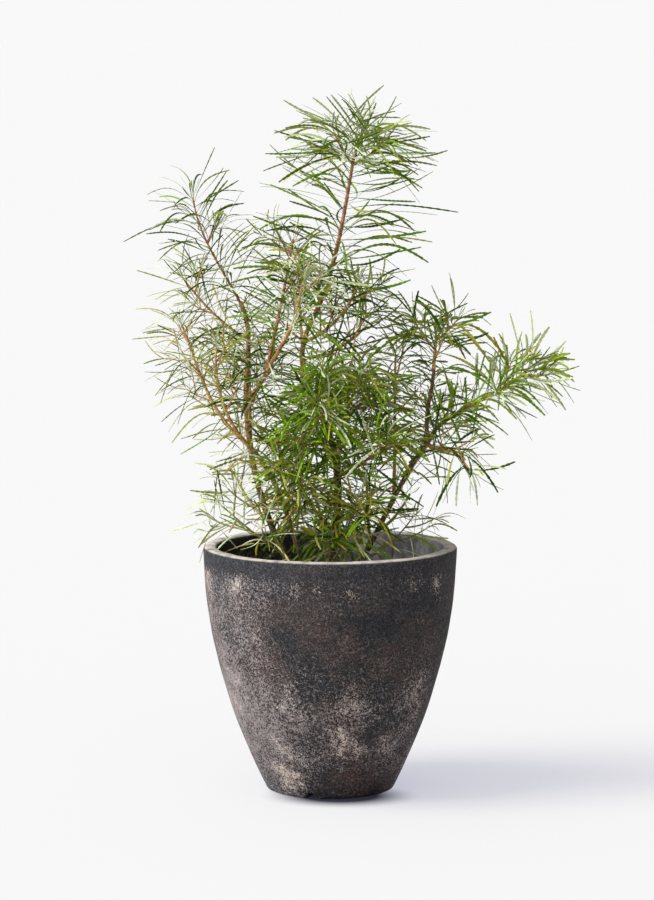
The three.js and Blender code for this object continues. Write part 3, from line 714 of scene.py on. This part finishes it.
SHOOTS = {
    "foliage_top": shoot("bough_leader", 1, -26, 74, 206, 5, 46, thick=1.35, fork=0.95, finer=0, turn=185,
        wood="red", tint="top", stem_tint="fresh", dense=3.2, stem_dense=2.2, leaf=1.3, stem_leaf=1.6,
        broad=0.74, youth=0.3, wide=72, spread=76, level=0.45, droop=-0.09),
    "foliage_left_high": shoot("bough_left_high", 1, -170, 66, 138, 18, 24, thick=0.65, twigs=1, fork=0.2,
        finer=2, wood="red", tint="fresh", dense=0.65, stem_dense=2.1, leaf=0.8, stem_leaf=1.05, broad=0.62,
        youth=0.15, wide=70, spread=46, level=1),
    "foliage_left_mid": shoot("bough_left_high", 0.6, -153, 42, 112, 10, 26, thick=0.75, twigs=2, fork=0.35,
        tint="olive", dense=0.85, stem_dense=1.7, leaf=0.95, stem_leaf=0.95, broad=0.55, wide=72, spread=46,
        level=1),
    "foliage_left_low": shoot("stem_left_front", 1, 157, 60, 152, 6, 38, fork=0.25, tint="olive", dense=0.7,
        broad=0.55),
    "foliage_left_inner": shoot("stem_left_front", 0.93, -150, 70, 128, 28, 42, tint="yellowing", dense=0.75,
        leaf=0.9, broad=0.62),
    "foliage_inner": shoot("bough_left_inner", 1, -40, 68, 74, 12, 38, tint="pale", dense=1.3, leaf=0.95,
        broad=0.72),
    "foliage_upper": shoot("bough_left_inner", 0.62, 40, 75, 160, 2, 38, fork=0.5, wood="red", tint="pale",
        leaf=0.75, broad=0.68),
    "foliage_leader_front": shoot("bough_leader", 0.85, -38, 40, 104, 22, 36, fork=0.4, tint="fresh",
        dense=0.75, leaf=0.85, broad=0.72),
    "foliage_leader_right": shoot("bough_leader", 0.72, 17, 25, 88, 22, 38, fork=0.4, tint="olive", dense=0.7,
        broad=0.72),
    "foliage_leader_back": shoot("bough_leader", 0.55, 97, 57, 137, 20, 46, fork=0.35, dense=0.45, leaf=0.8),
    "foliage_front": shoot("trunk", 0.95, -111, 42, 116, 24, 44, twigs=4, finer=2, wood="red", tint="bright",
        dense=2.1, leaf=0.7, broad=0.88, youth=0.1),
    "foliage_front_mid": shoot("bough_leader", 0.16, -42, 36, 82, 20, 40, fork=0.35, finer=2, wood="red",
        tint="bright", dense=1.95, leaf=0.7, broad=0.88, youth=0.1),
    "foliage_front_right": shoot("trunk", 0.8, -55, 28, 111, 14, 42, fork=0.35, finer=2, wood="red",
        dense=1.1, leaf=0.72, broad=0.9, youth=0.2),
    "foliage_right_inner": shoot("stem_right", 0.55, 87, 76, 169, 10, 46, fork=0.25, dense=0.5, leaf=0.85,
        broad=0.78, youth=0.2),
    "foliage_right_high": shoot("bough_right_high", 1, 45, 84, 42, 2, 36, fork=0.15, dense=1.35, broad=0.95,
        youth=0.15),
    "foliage_right_tip": shoot("bough_right_low", 1, -2, 33, 88, 12, 28, fork=0.2, turn=255, tint="bright",
        dense=1.35, stem_dense=2.0, leaf=0.8, stem_leaf=1.05, broad=1.05, youth=0.25, wide=56, spread=40,
        level=0.8),
    "foliage_right_low": shoot("stem_right", 0.9, -42, -4, 62, 8, 36, finer=0, dense=0.8, leaf=0.85, broad=1,
        youth=0.15, level=1, droop=0.1),
    "foliage_low_left": shoot("stem_left_front", 0.1, -152, 37, 138, 4, 48, thick=0.6, fork=0.35,
        wood="green", tint="young", dense=0.52, leaf=0.9, youth=0.3),
    "foliage_low_right": shoot("stem_right", 0.14, 24, 36, 84, 16, 42, thick=0.6, twigs=2, fork=0.4, finer=0,
        wood="green", tint="young", dense=0.4, leaf=0.9, broad=0.75, youth=0.3),
    "foliage_low_front": shoot("trunk", 0.12, -62, 52, 98, 16, 42, thick=0.75, finer=2, wood="green",
        tint="warm", dense=1.5, leaf=0.72, broad=0.92, youth=0.1),
    "foliage_low_trunk": shoot("trunk", 0.38, -134, 50, 112, 15, 42, finer=2, tint="warm", dense=1.4,
        leaf=0.72, broad=0.9),
    "foliage_low_middle": shoot("stem_left", 0.56, -12, 46, 84, 14, 38, finer=2, tint="warm", leaf=0.72,
        broad=0.9, youth=0.2),
    "foliage_low_inner": shoot("stem_right", 0.25, -96, 60, 98, 12, 42, wood="green", tint="warm", dense=1.1,
        leaf=0.72, broad=0.82),
    "foliage_back": shoot("trunk", 0.62, 88, 56, 171, 16, 50, dense=0.8, youth=0.2),
    "foliage_back_left": shoot("stem_left", 0.75, 92, 54, 143, 18, 50, twigs=4, tint="olive", dense=0.9,
        broad=0.65),
    "foliage_back_right": shoot("stem_right", 0.62, 66, 39, 119, 20, 46, twigs=4, finer=0, dense=0.5,
        youth=0.2),
    "foliage_back_low": shoot("trunk", 0.24, 104, 38, 112, 16, 42, wood="green", tint="bright", dense=0.8,
        broad=0.9),
    "foliage_low_left_back": shoot("stem_left", 0.35, 122, 30, 92, 16, 40, finer=0, wood="green",
        tint="young", dense=0.3, leaf=0.85, broad=0.7),
    "foliage_low_right_back": shoot("stem_right", 0.34, 62, 22, 92, 16, 40, twigs=1, finer=0, wood="green",
        tint="young", dense=0.12, leaf=0.85, broad=0.55),
}
SEED_FIRST = 1000
SEED_STEP = 77
LENGTH_SCATTER = 0.3
TWIGS_END = 0.97
TWIG_SPLAY = math.radians(52)
TWIG_LIFT = 0.5
TWIG_ATTEMPTS = 3
TWIG_ROOM = np.array((0.3, 0.5, 0.7, 0.9, 1))
FINER_FORK = 0.2
FINER_REACH = 0.58
LEAF_CLEARANCE = 1.2 * MM
TRACE_POINTS = 25
STEM_RADII = np.array((2.3, 1.3)) * MM
TWIG_RADII = np.array((1.25, 0.8)) * MM
FINER_RADII = np.array((0.85, 0.55)) * MM
WOOD_SIDES = 8
WOOD_STEP = 3.5 * MM
WOOD_SWELL, SWELL_STEP = 0.15, 2.4
FEWEST_RINGS = 4
ROOT_END = 0.3


def draw_from(seed):
    """Random numbers from 0 to 1, the same on every run."""
    state = seed
    while True:
        state = state * 48271 % 2147483647
        yield state / 2147483647


def direction(bearing, rise):
    """A direction from its bearing and rise in degrees."""
    turn, lift = math.radians(bearing), math.radians(rise)
    return np.array((math.cos(lift) * math.cos(turn), math.cos(lift) * math.sin(turn), math.sin(lift)))


def around(heading, angle, splay):
    """The direction that stands off a heading by the splay, at an angle round it."""
    angle, splay = np.asarray(angle)[..., None], np.asarray(splay)[..., None]
    side = unit(np.cross(heading, BACK))
    lift = np.cross(side, heading)
    return heading * np.cos(splay) + (side * np.cos(angle) + lift * np.sin(angle)) * np.sin(splay)


def distance_to(curve, radii, points):
    """Distances from points to the surface of a limb."""
    spots = place_on(curve, np.linspace(0, 1, TRACE_POINTS))
    starts, spans = spots[:-1], np.diff(spots, axis=0)
    thick = np.linspace(*radii, TRACE_POINTS)[:-1]
    offsets = points[:, None] - starts
    shares = np.clip((offsets * spans).sum(-1) / (spans * spans).sum(-1), 0, 1)
    return (np.linalg.norm(offsets - shares[..., None] * spans, axis=-1) - thick).min(axis=1)


def clear_of_pot(points, clearance):
    """True above the rim, beyond it, or inside the pot over the soil."""
    out = np.hypot(points[:, 0], points[:, 1])
    outside = (points[:, 2] > POT_HEIGHT + clearance) | (out > RIM_RADIUS + clearance)
    hollow = np.array([pot_radius(z) for z in points[:, 2]]) - POT_WALL - clearance
    return outside | ((points[:, 2] > ground + SOIL_DOME + clearance) & (out < hollow))


def clear_of_limbs(points, clearance):
    """True outside every limb."""
    apart = [distance_to(limb["curve"], limb["radii"], points) > clearance for limb in limbs.values()]
    return np.all(apart, axis=0)


SHOOT_RADII = np.array((2.7, 1.8)) * MM
stems = {}
for name, spec in SHOOTS.items():
    parent = limbs[spec["on"]]["curve"]
    at_tip = spec["at"] == 1
    start = place_on(parent, spec["at"])
    tip = start + direction(spec["bearing"], spec["rise"]) * spec["length"] * MM
    sets_off = heading_on(parent, 1) if at_tip else direction(spec["bearing"], spec["rise"] - spec["curl"])
    if at_tip:
        start = start + sets_off * GAP
    stems[name] = course(start, sets_off, tip, direction(spec["bearing"], spec["rise"] + spec["curl"]))


def keeps_its_space(name, points, clearance):
    """True where every point is nearer to its own stem than to any other and clear of all limbs."""
    own = distance_to(stems[name], SHOOT_RADII, points)
    others = [distance_to(stem, SHOOT_RADII, points) for other, stem in stems.items() if other != name]
    apart = np.min(others, axis=0) > own + 2 * clearance
    return bool(np.all(apart & clear_of_pot(points, clearance) & clear_of_limbs(points, clearance)))


def grow_twigs(name, parent, count, fork, reach, angle, draw):
    """Side twigs at the golden angle, each bent up towards the light. Those without room are left out."""
    grown = []
    for step in range(count):
        share = fork + (TWIGS_END - fork) * (step + 0.5) / count
        start = place_on(parent, share)
        length = reach * (1 + LENGTH_SCATTER * (next(draw) - 0.5))
        for _ in range(TWIG_ATTEMPTS):
            sets_off = around(heading_on(parent, share), angle, TWIG_SPLAY)
            arrives = unit(sets_off + UP * TWIG_LIFT)
            twig = course(start, sets_off, start + unit(sets_off + arrives) * length, arrives)
            angle += GOLDEN_TURN
            if keeps_its_space(name, place_on(twig, TWIG_ROOM), 2 * LEAF_CLEARANCE):
                grown.append(twig)
                break
    return grown


# Every leafy axis: its shoot's name, its curve, its radii, its order (0 stem, 1 twig, 2 finer twig).
axes = []
for index, (name, spec) in enumerate(SHOOTS.items()):
    draw = draw_from(SEED_FIRST + SEED_STEP * index)
    next(draw)
    any_angle = math.tau * next(draw)
    angle = math.radians(spec["turn"]) if "turn" in spec else any_angle
    axes.append((name, stems[name], STEM_RADII * spec["thick"], 0))
    reach = spec["reach"] * MM
    for twig in grow_twigs(name, stems[name], spec["twigs"], spec["fork"], reach, angle, draw):
        axes.append((name, twig, TWIG_RADII, 1))
        turn = math.tau * next(draw)
        for small in grow_twigs(name, twig, spec["finer"], FINER_FORK, reach * FINER_REACH, turn, draw):
            axes.append((name, small, FINER_RADII, 2))


def wood_tubes(curves_and_radii):
    """Points and faces of closed tapered tubes with round ends."""
    points, faces = [], []
    turns = np.arange(WOOD_SIDES) * math.tau / WOOD_SIDES
    for curve, radii in curves_and_radii:
        rings = max(FEWEST_RINGS, round(length_of(curve) / WOOD_STEP))
        shares = np.linspace(0, 1, rings + 1)
        sides, lifts = frames_on(curve, shares)
        thick = np.linspace(*radii, rings + 1)
        swell = 1 + WOOD_SWELL * np.sin(np.arange(rings + 1) * SWELL_STEP)
        ring_points = (
            place_on(curve, shares)[:, None]
            + (thick * swell)[:, None, None]
            * (sides[:, None] * np.cos(turns)[:, None] + lifts[:, None] * np.sin(turns)[:, None])
        )
        first = len(points)
        points.extend(ring_points.reshape(-1, 3).tolist())
        points.append((curve[-1] + heading_on(curve, 1) * radii[1]).tolist())
        points.append((curve[0] - heading_on(curve, 0) * radii[0] * ROOT_END).tolist())
        peak, root = len(points) - 2, len(points) - 1
        for ring in range(rings):
            low, high = first + ring * WOOD_SIDES, first + (ring + 1) * WOOD_SIDES
            for side in range(WOOD_SIDES):
                after = (side + 1) % WOOD_SIDES
                faces.append((low + side, low + after, high + after, high + side))
        last = first + rings * WOOD_SIDES
        for side in range(WOOD_SIDES):
            after = (side + 1) % WOOD_SIDES
            faces.append((last + side, last + after, peak))
            faces.append((first + after, first + side, root))
    return points, faces


def joined(name, points, faces, smooth):
    """One piece from the points and faces of many small things."""
    mesh = bpy.data.meshes.new(name)
    mesh.from_pydata(points, [], faces)
    return placed(mesh, smooth)


WOOD_TINTS = {
    "red": ((0.16, 0.050, 0.024), (0.46, 0.21, 0.095)),
    "amber": ((0.24, 0.115, 0.028), (0.56, 0.35, 0.11)),
    "green": ((0.17, 0.17, 0.045), (0.30, 0.27, 0.09)),
}
streaks = dict(Scale=300, Detail=3, Distortion=0.5, Low=0.40, High=0.68)
for tint, (dull, light) in WOOD_TINTS.items():
    tinted = [(curve, radii) for name, curve, radii, order in axes if SHOOTS[name]["wood"] == tint]
    twigs = joined("twigs_" + tint, *wood_tubes(tinted), smooth=True)
    young_bark, _ = mottled(
        "young_bark_" + tint, streaks, dull, light, bump=0.0002, Roughness=0.62, Specular_IOR_Level=0.4)
    twigs.data.materials.append(young_bark)
    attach(twigs, "root")
    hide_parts(*[name for name, spec in SHOOTS.items() if spec["wood"] == tint])

# The leaves
# Narrow, leathery blades with a saw-toothed margin, raised along the midrib and paler beneath, on
# short stalks. They stand wide at a shoot's foot and closer at its tip, arch, and droop.
LEAF_LENGTH = 64 * MM
LEAF_WIDTH = 3.8 * MM
STALK_SHARE = 0.07
STALK_WIDTH = 0.26
LONG_LEAF = 66 * MM
LONG_TEETH, SHORT_TEETH = 15, 8
TOOTH_CUT = 0.62
TOOTH_LEAN, TOOTH_END = 0.80, 0.97
WIDEST_FROM, WIDEST_TO = 0.50, 0.90
TIP_WIDTH = 0.45
RIDGE = 0.42
WIDTH_POWER = 0.35
NEARBY = 0.01
LEAF_FROM = (0.06, 0.10, 0.08)
LEAF_SPACING = (3.3 * MM, 2.5 * MM, 2.3 * MM)
FEWEST_LEAVES = 3
FIRST_RANK = 0.7
TIP_CROWDING = 1.12
RANK_SCATTER = 1.2
SPLAY_SCATTER = 36
CLOSES_FROM = 0.55
ANGLE_SCATTER = 0.9
SHORTEST, LENGTH_SPREAD, TIP_SHRINK = 0.80, 0.40, 0.22
ARCH, SAG = 0.14, 0.14
ARCH_SCATTER, SAG_SCATTER = (-0.6, 1.6), (-0.8, 2.0)
LEAF_ATTEMPTS = 5
SHORTER = 0.93
ROOT_SHARE = 0.8
TIP_LEAVES = 4
TIP_LEAF_SIZE = (0.22, 0.5)
TIP_LEAF_SPLAY = (8, 34)
ORDER_SIZE = (1.0, 0.92, 0.8)
BREADTH_SCATTER = (0.8, 1.2)
BEND = 0.29
ROLL, TWIST = 0.95, 0.6
LEAF_CHECKS = np.array((0.25, 0.5, 0.75, 1.0))
SPRAY_SHARE = 0.38
YOUNG_FROM = 0.6
TIP_YOUTH = 2
PALE_YOUNG = 0.45
OLIVE_TINT, YOUNG_TINT = 2, 4

LEAF_TINTS = {
    "deep": (0.033, 0.071, 0.004),
    "green": (0.120, 0.226, 0.010),
    "olive": (0.188, 0.205, 0.040),
    "amber": (0.225, 0.196, 0.018),
    # The pale young tint is partly sage young leaves and partly painted sheen, standing in for the glints of
    # leaves whose gloss is set nearly off.
    "young": (0.420, 0.480, 0.300),
    "straw": (0.430, 0.345, 0.150),
}
# How often each of these colours, in their order, comes up in the leaves of each tint of shoot.
TINT_MIX = {
    "top": (0.66, 0.05, 0.10, 0.01, 0.15, 0.03),
    "fresh": (0.77, 0.10, 0.02, 0.00, 0.11, 0.00),
    "olive": (0.19, 0.02, 0.33, 0.15, 0.16, 0.15),
    "yellowing": (0.14, 0.02, 0.32, 0.20, 0.15, 0.17),
    "pale": (0.46, 0.08, 0.12, 0.03, 0.28, 0.03),
    "deep": (0.46, 0.32, 0.08, 0.05, 0.09, 0.00),
    "bright": (0.10, 0.56, 0.15, 0.05, 0.14, 0.00),
    "young": (0.16, 0.06, 0.28, 0.04, 0.40, 0.06),
    "warm": (0.18, 0.20, 0.30, 0.22, 0.09, 0.01),
}
UNDERSIDE = (0.335, 0.372, 0.040)
PALER_BELOW = 0.42
FELT_DARK = 0.8
BLADE_DARK, BLADE_LIGHT = 0.72, 1.25
VEIN_RELIEF = 0.0001

# Limbs that are young enough to keep leaves of their own: from what share up, how long, how far apart.
LEAFY_LIMBS = {
    "bough_leader": dict(first=0.30, size=1.75, wide=64, level=0.95, spacing=6.2, tint="fresh", broad=0.88),
    "bough_left_high": dict(first=0.15, size=0.8, spacing=1.5, tint="fresh", broad=0.7),
    "bough_left_inner": dict(first=0.15, size=0.9, spacing=1.8, tint="pale", broad=0.8),
    "bough_right_high": dict(first=0.10, size=0.80, spacing=1.3, tint="deep", broad=0.8),
    "bough_right_low": dict(first=0.05, size=0.80, wide=54, level=0.9, spacing=0.85, tint="deep", broad=0.9),
    "stem_left_front": dict(first=0.40, size=0.72, spacing=1.8, tint="olive", broad=0.7),
    "stem_left": dict(first=0.60, size=0.72, spacing=2.4, tint="olive", broad=0.7),
    "stem_right": dict(first=0.86, size=0.85, spacing=4.6, tint="deep", broad=0.95),
    "trunk": dict(first=0.62, size=0.85, spacing=3.2, tint="bright", broad=1.0),
}

chance = np.random.default_rng(11)


def leaf_plan(curve, first, spacing, scale, foot_splay, tip_splay):
    """The share, angle, splay and length of each leaf up an axis."""
    count = max(FEWEST_LEAVES, round(length_of(curve) * (1 - first) / spacing))
    rank = (np.arange(count) + FIRST_RANK + RANK_SCATTER * (chance.random(count) - 0.5)) / count
    shares = first + (1 - first) * (1 - (1 - np.clip(rank, 0, 1)) ** TIP_CROWDING)
    near_tip = np.clip((shares - CLOSES_FROM) / (1 - CLOSES_FROM), 0, 1)
    splays = foot_splay + (tip_splay - foot_splay) * near_tip ** 2
    splays = splays + SPLAY_SCATTER * (chance.random(count) - 0.5)
    sizes = scale * LEAF_LENGTH * (SHORTEST + LENGTH_SPREAD * chance.random(count))
    sizes = sizes * (1 - TIP_SHRINK * near_tip ** 3)
    angles = math.tau * chance.random() + GOLDEN_TURN * np.arange(count)
    angles += ANGLE_SCATTER * (chance.random(count) - 0.5)
    return shares, angles, np.radians(splays), sizes


def tip_plan(scale):
    """The same for the short young leaves that stand up at an axis's tip."""
    angles = math.tau * chance.random() + GOLDEN_TURN * np.arange(TIP_LEAVES)
    sizes = scale * LEAF_LENGTH * chance.uniform(*TIP_LEAF_SIZE, TIP_LEAVES)
    return np.ones(TIP_LEAVES), angles, np.radians(chance.uniform(*TIP_LEAF_SPLAY, TIP_LEAVES)), sizes


def spine_points(roots, outwards, sideways, sizes, arches, sags, bends, t):
    """Points down each leaf's midrib: straight out, over a low arch, drooping and bent to a side."""
    level = np.hypot(outwards[:, 0], outwards[:, 1])
    rise = arches[:, None] * np.sin(math.pi * t) - sags[:, None] * t ** 2
    return (
        roots[:, None]
        + outwards[:, None] * (sizes[:, None] * t)[..., None]
        + UP * (sizes * level)[:, None, None] * rise[..., None]
        + sideways[:, None] * (sizes[:, None] * bends[:, None] * t ** 2)[..., None]
    )


leaf_parts = []


def put_leaves(curve, radii, plan, tint, youth, breadth, level, droop):
    """Adds an axis's leaves. One that meets a limb or the pot is turned on, made shorter, or left out."""
    shares, angles, splays, sizes = plan
    count = len(shares)
    headings = heading_on(curve, shares)
    centres = place_on(curve, shares)
    thick = np.interp(shares, (0, 1), radii)[:, None]
    arches = ARCH * chance.uniform(*ARCH_SCATTER, count)
    sags = SAG * chance.uniform(*SAG_SCATTER, count) + droop
    bends = chance.normal(0, BEND, count)
    for _ in range(LEAF_ATTEMPTS):
        outwards = unit(around(headings, angles, splays) * (1, 1, level))
        sideways = unit(np.cross(headings, outwards))
        roots = centres + outwards * thick * ROOT_SHARE
        trial = spine_points(roots, outwards, sideways, sizes, arches, sags, bends, LEAF_CHECKS)
        trial = trial.reshape(-1, 3)
        fits = clear_of_pot(trial, LEAF_CLEARANCE) & clear_of_limbs(trial, LEAF_CLEARANCE / 2)
        good = fits.reshape(count, -1).all(axis=1)
        if good.all():
            break
        angles = np.where(good, angles, angles + GOLDEN_TURN)
        sizes = np.where(good, sizes, sizes * SHORTER)
    spray = chance.choice(len(LEAF_TINTS), p=TINT_MIX[tint])
    each = chance.choice(len(LEAF_TINTS), count, p=TINT_MIX[tint])
    tints = np.where(chance.random(count) < SPRAY_SHARE, spray, each)
    younger = chance.random(count) < youth * np.clip((shares - YOUNG_FROM) / (1 - YOUNG_FROM), 0, 1)
    tints = np.where(younger, np.where(chance.random(count) < PALE_YOUNG, YOUNG_TINT, OLIVE_TINT), tints)
    breadths = breadth * chance.uniform(*BREADTH_SCATTER, count)
    everything = (roots, outwards, headings, sizes, arches, sags, bends, tints, breadths)
    leaf_parts.append([part[good] for part in everything])


for name, curve, radii, order in axes:
    spec = SHOOTS[name]
    if order == 0:
        scale, tint = spec["stem_leaf"], spec.get("stem_tint", spec["tint"])
        dense = spec.get("stem_dense", spec["dense"])
    else:
        scale, tint, dense = ORDER_SIZE[order] * spec["leaf"], spec["tint"], spec["dense"]
    spacing = LEAF_SPACING[order] / dense
    plan = leaf_plan(curve, LEAF_FROM[order], spacing, scale, spec["wide"], spec["spread"])
    youth, broad = spec["youth"], spec["broad"]
    put_leaves(curve, radii, plan, tint, youth, broad, spec["level"], spec["droop"])
    put_leaves(curve, radii, tip_plan(scale), tint, TIP_YOUTH * youth, broad, 1, 0)
for name, spec in LEAFY_LIMBS.items():
    curve, radii = limbs[name]["curve"], limbs[name]["radii"]
    splay = spec.get("wide", SPLAY_WIDE)
    plan = leaf_plan(curve, spec["first"], spec["spacing"] * MM, spec["size"], splay, splay)
    put_leaves(curve, radii, plan, spec["tint"], 0, spec["broad"], spec.get("level", LEVEL), 0)
all_leaves = [np.concatenate(parts) for parts in zip(*leaf_parts)]
leaf_roots, leaf_outwards, leaf_headings, leaf_sizes = all_leaves[:4]
leaf_arches, leaf_sags, leaf_bends, leaf_tints, leaf_breadths = all_leaves[4:]


def saw_outline(teeth):
    """Half a blade's outline: shares of its length, and half widths that step in after each tooth."""
    tooth_step = (1 - STALK_SHARE) / teeth
    outline = [(0, STALK_WIDTH), (STALK_SHARE, STALK_WIDTH)]
    for tooth in range(teeth):
        start = STALK_SHARE + tooth * tooth_step
        teeth_at = ((start + tooth_step * TOOTH_LEAN, 1.0), (start + tooth_step * TOOTH_END, TOOTH_CUT))
        for share, cut in teeth_at:
            full = np.interp(share, (STALK_SHARE, WIDEST_FROM, WIDEST_TO, 1), (STALK_WIDTH, 1, 1, TIP_WIDTH))
            outline.append((share, full * cut))
    return np.array(outline[:-1]).T


def blades(pick, teeth):
    """The picked leaves' points, faces and sides: three lines of points up each blade, one at its tip."""
    t, widths = saw_outline(teeth)
    count, stations = int(pick.sum()), len(t)
    outwards, sizes = leaf_outwards[pick], leaf_sizes[pick]
    sideways = unit(np.cross(leaf_headings[pick], outwards))
    bending = leaf_arches[pick], leaf_sags[pick], leaf_bends[pick]
    shape = (leaf_roots[pick], outwards, sideways, sizes, *bending)
    spine = spine_points(*shape, t)
    ahead = unit(spine_points(*shape, t + NEARBY) - spine_points(*shape, t - NEARBY))
    across = unit(sideways[:, None] - ahead * (sideways[:, None] * ahead).sum(-1, keepdims=True))
    above = np.cross(ahead, across)
    roll = chance.normal(0, ROLL, count)[:, None] + chance.normal(0, TWIST, count)[:, None] * t
    turned = across * np.cos(roll)[..., None] + above * np.sin(roll)[..., None]
    above = np.cross(ahead, turned)
    half = LEAF_WIDTH / 2 * (sizes / LEAF_LENGTH) ** WIDTH_POWER * leaf_breadths[pick]
    half = half[:, None] * widths
    left = spine - turned * half[..., None]
    right = spine + turned * half[..., None]
    ridge = spine + above * (half * RIDGE)[..., None]
    tips = spine_points(*shape, np.array((1.0,)))
    points = np.concatenate([np.stack([left, right, ridge], axis=2).reshape(count, -1, 3), tips], axis=1)
    top, below = [], []
    for station in range(stations - 1):
        a, b = 3 * station, 3 * station + 3
        top += [(a, b, b + 2, a + 2), (a + 2, b + 2, b + 1, a + 1)]
        below += [(a, a + 1, b + 1, b)]
    last, tip = 3 * (stations - 1), 3 * stations
    ends = [(last, tip, last + 2), (last + 2, tip, last + 1)]
    ends_below = [(last, last + 1, tip), (0, 2, 1)]
    base = np.arange(count) * (3 * stations + 1)
    quads = (np.array(top + below) + base[:, None, None]).reshape(-1, 4)
    triangles = (np.array(ends + ends_below) + base[:, None, None]).reshape(-1, 3)
    sides = np.concatenate([
        np.tile([0] * len(top) + [1] * len(below), count),
        np.tile([0] * len(ends) + [1] * len(ends_below), count),
    ])
    return points.reshape(-1, 3), quads.tolist() + triangles.tolist(), sides


def two_sizes(pick):
    """The same for long leaves with many teeth and short ones with few, together."""
    is_long = leaf_sizes > LONG_LEAF
    points, faces, sides = blades(pick & is_long, LONG_TEETH)
    more_points, more_faces, more_sides = blades(pick & ~is_long, SHORT_TEETH)
    faces += [[corner + len(points) for corner in face] for face in more_faces]
    return np.concatenate([points, more_points]), faces, np.concatenate([sides, more_sides])


felt = dict(Scale=420, Detail=2, Low=0.35, High=0.65)
mottle = dict(Scale=70, Detail=2, Low=0.30, High=0.70)
for index, (tint, colour) in enumerate(LEAF_TINTS.items()):
    points, faces, sides = two_sizes(leaf_tints == index)
    leaves = joined("leaves_" + tint, points, faces, smooth=False)
    pale = [(1 - PALER_BELOW) * c + PALER_BELOW * d for c, d in zip(colour, UNDERSIDE)]
    under_leaf, _ = mottled(
        "leaf_under_" + tint, felt, [FELT_DARK * c for c in pale], pale,
        Roughness=0.75, Specular_IOR_Level=0.02,
    )
    # The leaves' gloss is nearly off; the pale young tint carries their painted sheen.
    leaf_skin, shader = mottled(
        "leaf_" + tint, mottle, [BLADE_DARK * c for c in colour], [BLADE_LIGHT * c for c in colour],
        Roughness=0.5, Specular_IOR_Level=0.02,
    )
    veins = masked(mottling, object_spot(shader), Scale=900, Detail=1, Low=0.30, High=0.70)
    roughened(shader, veins, VEIN_RELIEF)
    leaves.data.materials.append(leaf_skin)
    leaves.data.materials.append(under_leaf)
    leaves.data.polygons.foreach_set("material_index", sides)
    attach(leaves, "root")
    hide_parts(*SHOOTS)

# The studio
# A seamless white floor under a white sky that is brighter on the left, and a wide soft light from
# the upper left, which throws a weak shadow to the right. A painted contact shadow darkens the floor
# round the foot, and the floor glows a little, painted light that lifts its shadows to a pale blue.
PAPER_WHITE = (0.229, 0.231, 0.184)
# The floor's glow is painted light: it lifts the floor's shadows and tints them blue.
PAPER_GLOW = (0.492, 0.492, 0.594)
CONTACT_SHADE = (0.02, 0.02, 0.03)
CONTACT_CENTRE, CONTACT_STRETCH = (0.012, -0.055, 0), (1, 1.33, 1)
CONTACT_RADIUS, CONTACT_DEPTH = 0.100, 1.7
FLOOR_REACH = 400
BACKDROP_WHITE = (0.941, 0.943, 0.939, 1)
SKY_TINT = (1.0, 0.995, 0.96, 1)
SKY_LEFT = (-0.80, -0.05, 0.55)
SKY_DIM_FROM = -0.6
SKY_DIM, SKY_BRIGHT = 0.20, 1.30
LIGHTS = {
    "key": dict(comes_from=(-0.498, -0.130, 0.857), strength=3.2, spread=26, colour=(1.0, 0.985, 0.955)),
    "side": dict(comes_from=(-0.93, -0.32, 0.20), strength=2.3, spread=40, colour=(1.0, 0.99, 0.97)),
    "front": dict(comes_from=(-0.30, -0.92, 0.25), strength=0.6, spread=60, colour=(1.0, 0.99, 0.96)),
}

floor_mesh = bmesh.new()
bmesh.ops.create_grid(floor_mesh, x_segments=1, y_segments=1, size=FLOOR_REACH)
floor = finished("floor", floor_mesh, smooth=False)
paper, shader = new_material("paper", Emission_Strength=1.0, Roughness=1.0, Specular_IOR_Level=0.0)
# A painted contact shadow: the floor is dark round the pot's foot, and more so towards the right.
contact_shadow = masked(
    soft_spot, object_spot(shader), Centre=CONTACT_CENTRE, Stretch=CONTACT_STRETCH,
    Radius=CONTACT_RADIUS, Strength=CONTACT_DEPTH,
)
clear = worked("SUBTRACT", 1.0, contact_shadow, clamp=True)
feed(shader.inputs["Base Color"], blended(clear, CONTACT_SHADE, PAPER_WHITE))
# The painted glow of the floor, taken away under the painted contact shadow.
feed(shader.inputs["Emission Color"], blended(clear, CONTACT_SHADE, PAPER_GLOW))
floor.data.materials.append(paper)

studio = bpy.data.worlds.new("studio")
studio.use_nodes = True
tree = studio.node_tree
backdrop = tree.nodes["Background"]
backdrop.inputs["Color"].default_value = BACKDROP_WHITE
towards = tree.nodes.new("ShaderNodeTexCoord").outputs["Generated"]
leftness = vector_math("DOT_PRODUCT", towards, SKY_LEFT)["Value"]
glow = ramp(leftness, SKY_DIM_FROM, 1.0, SKY_DIM, SKY_BRIGHT)
sky = add_node("ShaderNodeBackground", Color=SKY_TINT, Strength=glow)
seen = tree.nodes.new("ShaderNodeLightPath").outputs["Is Camera Ray"]
either = add_node("ShaderNodeMixShader", i0=seen, i1=sky.outputs[0], i2=backdrop.outputs[0])
feed(tree.nodes["World Output"].inputs["Surface"], either.outputs[0])
bpy.context.scene.world = studio

for name, light in LIGHTS.items():
    lamp = bpy.data.lights.new(name, "SUN")
    lamp.energy = light["strength"]
    lamp.angle = math.radians(light["spread"])
    lamp.color = light["colour"]
    made = bpy.data.objects.new(name, lamp)
    made.rotation_euler = (-Vector(light["comes_from"])).to_track_quat("-Z", "Y").to_euler()
    bpy.context.scene.collection.objects.link(made)
bpy.context.scene.view_settings.view_transform = "Standard"
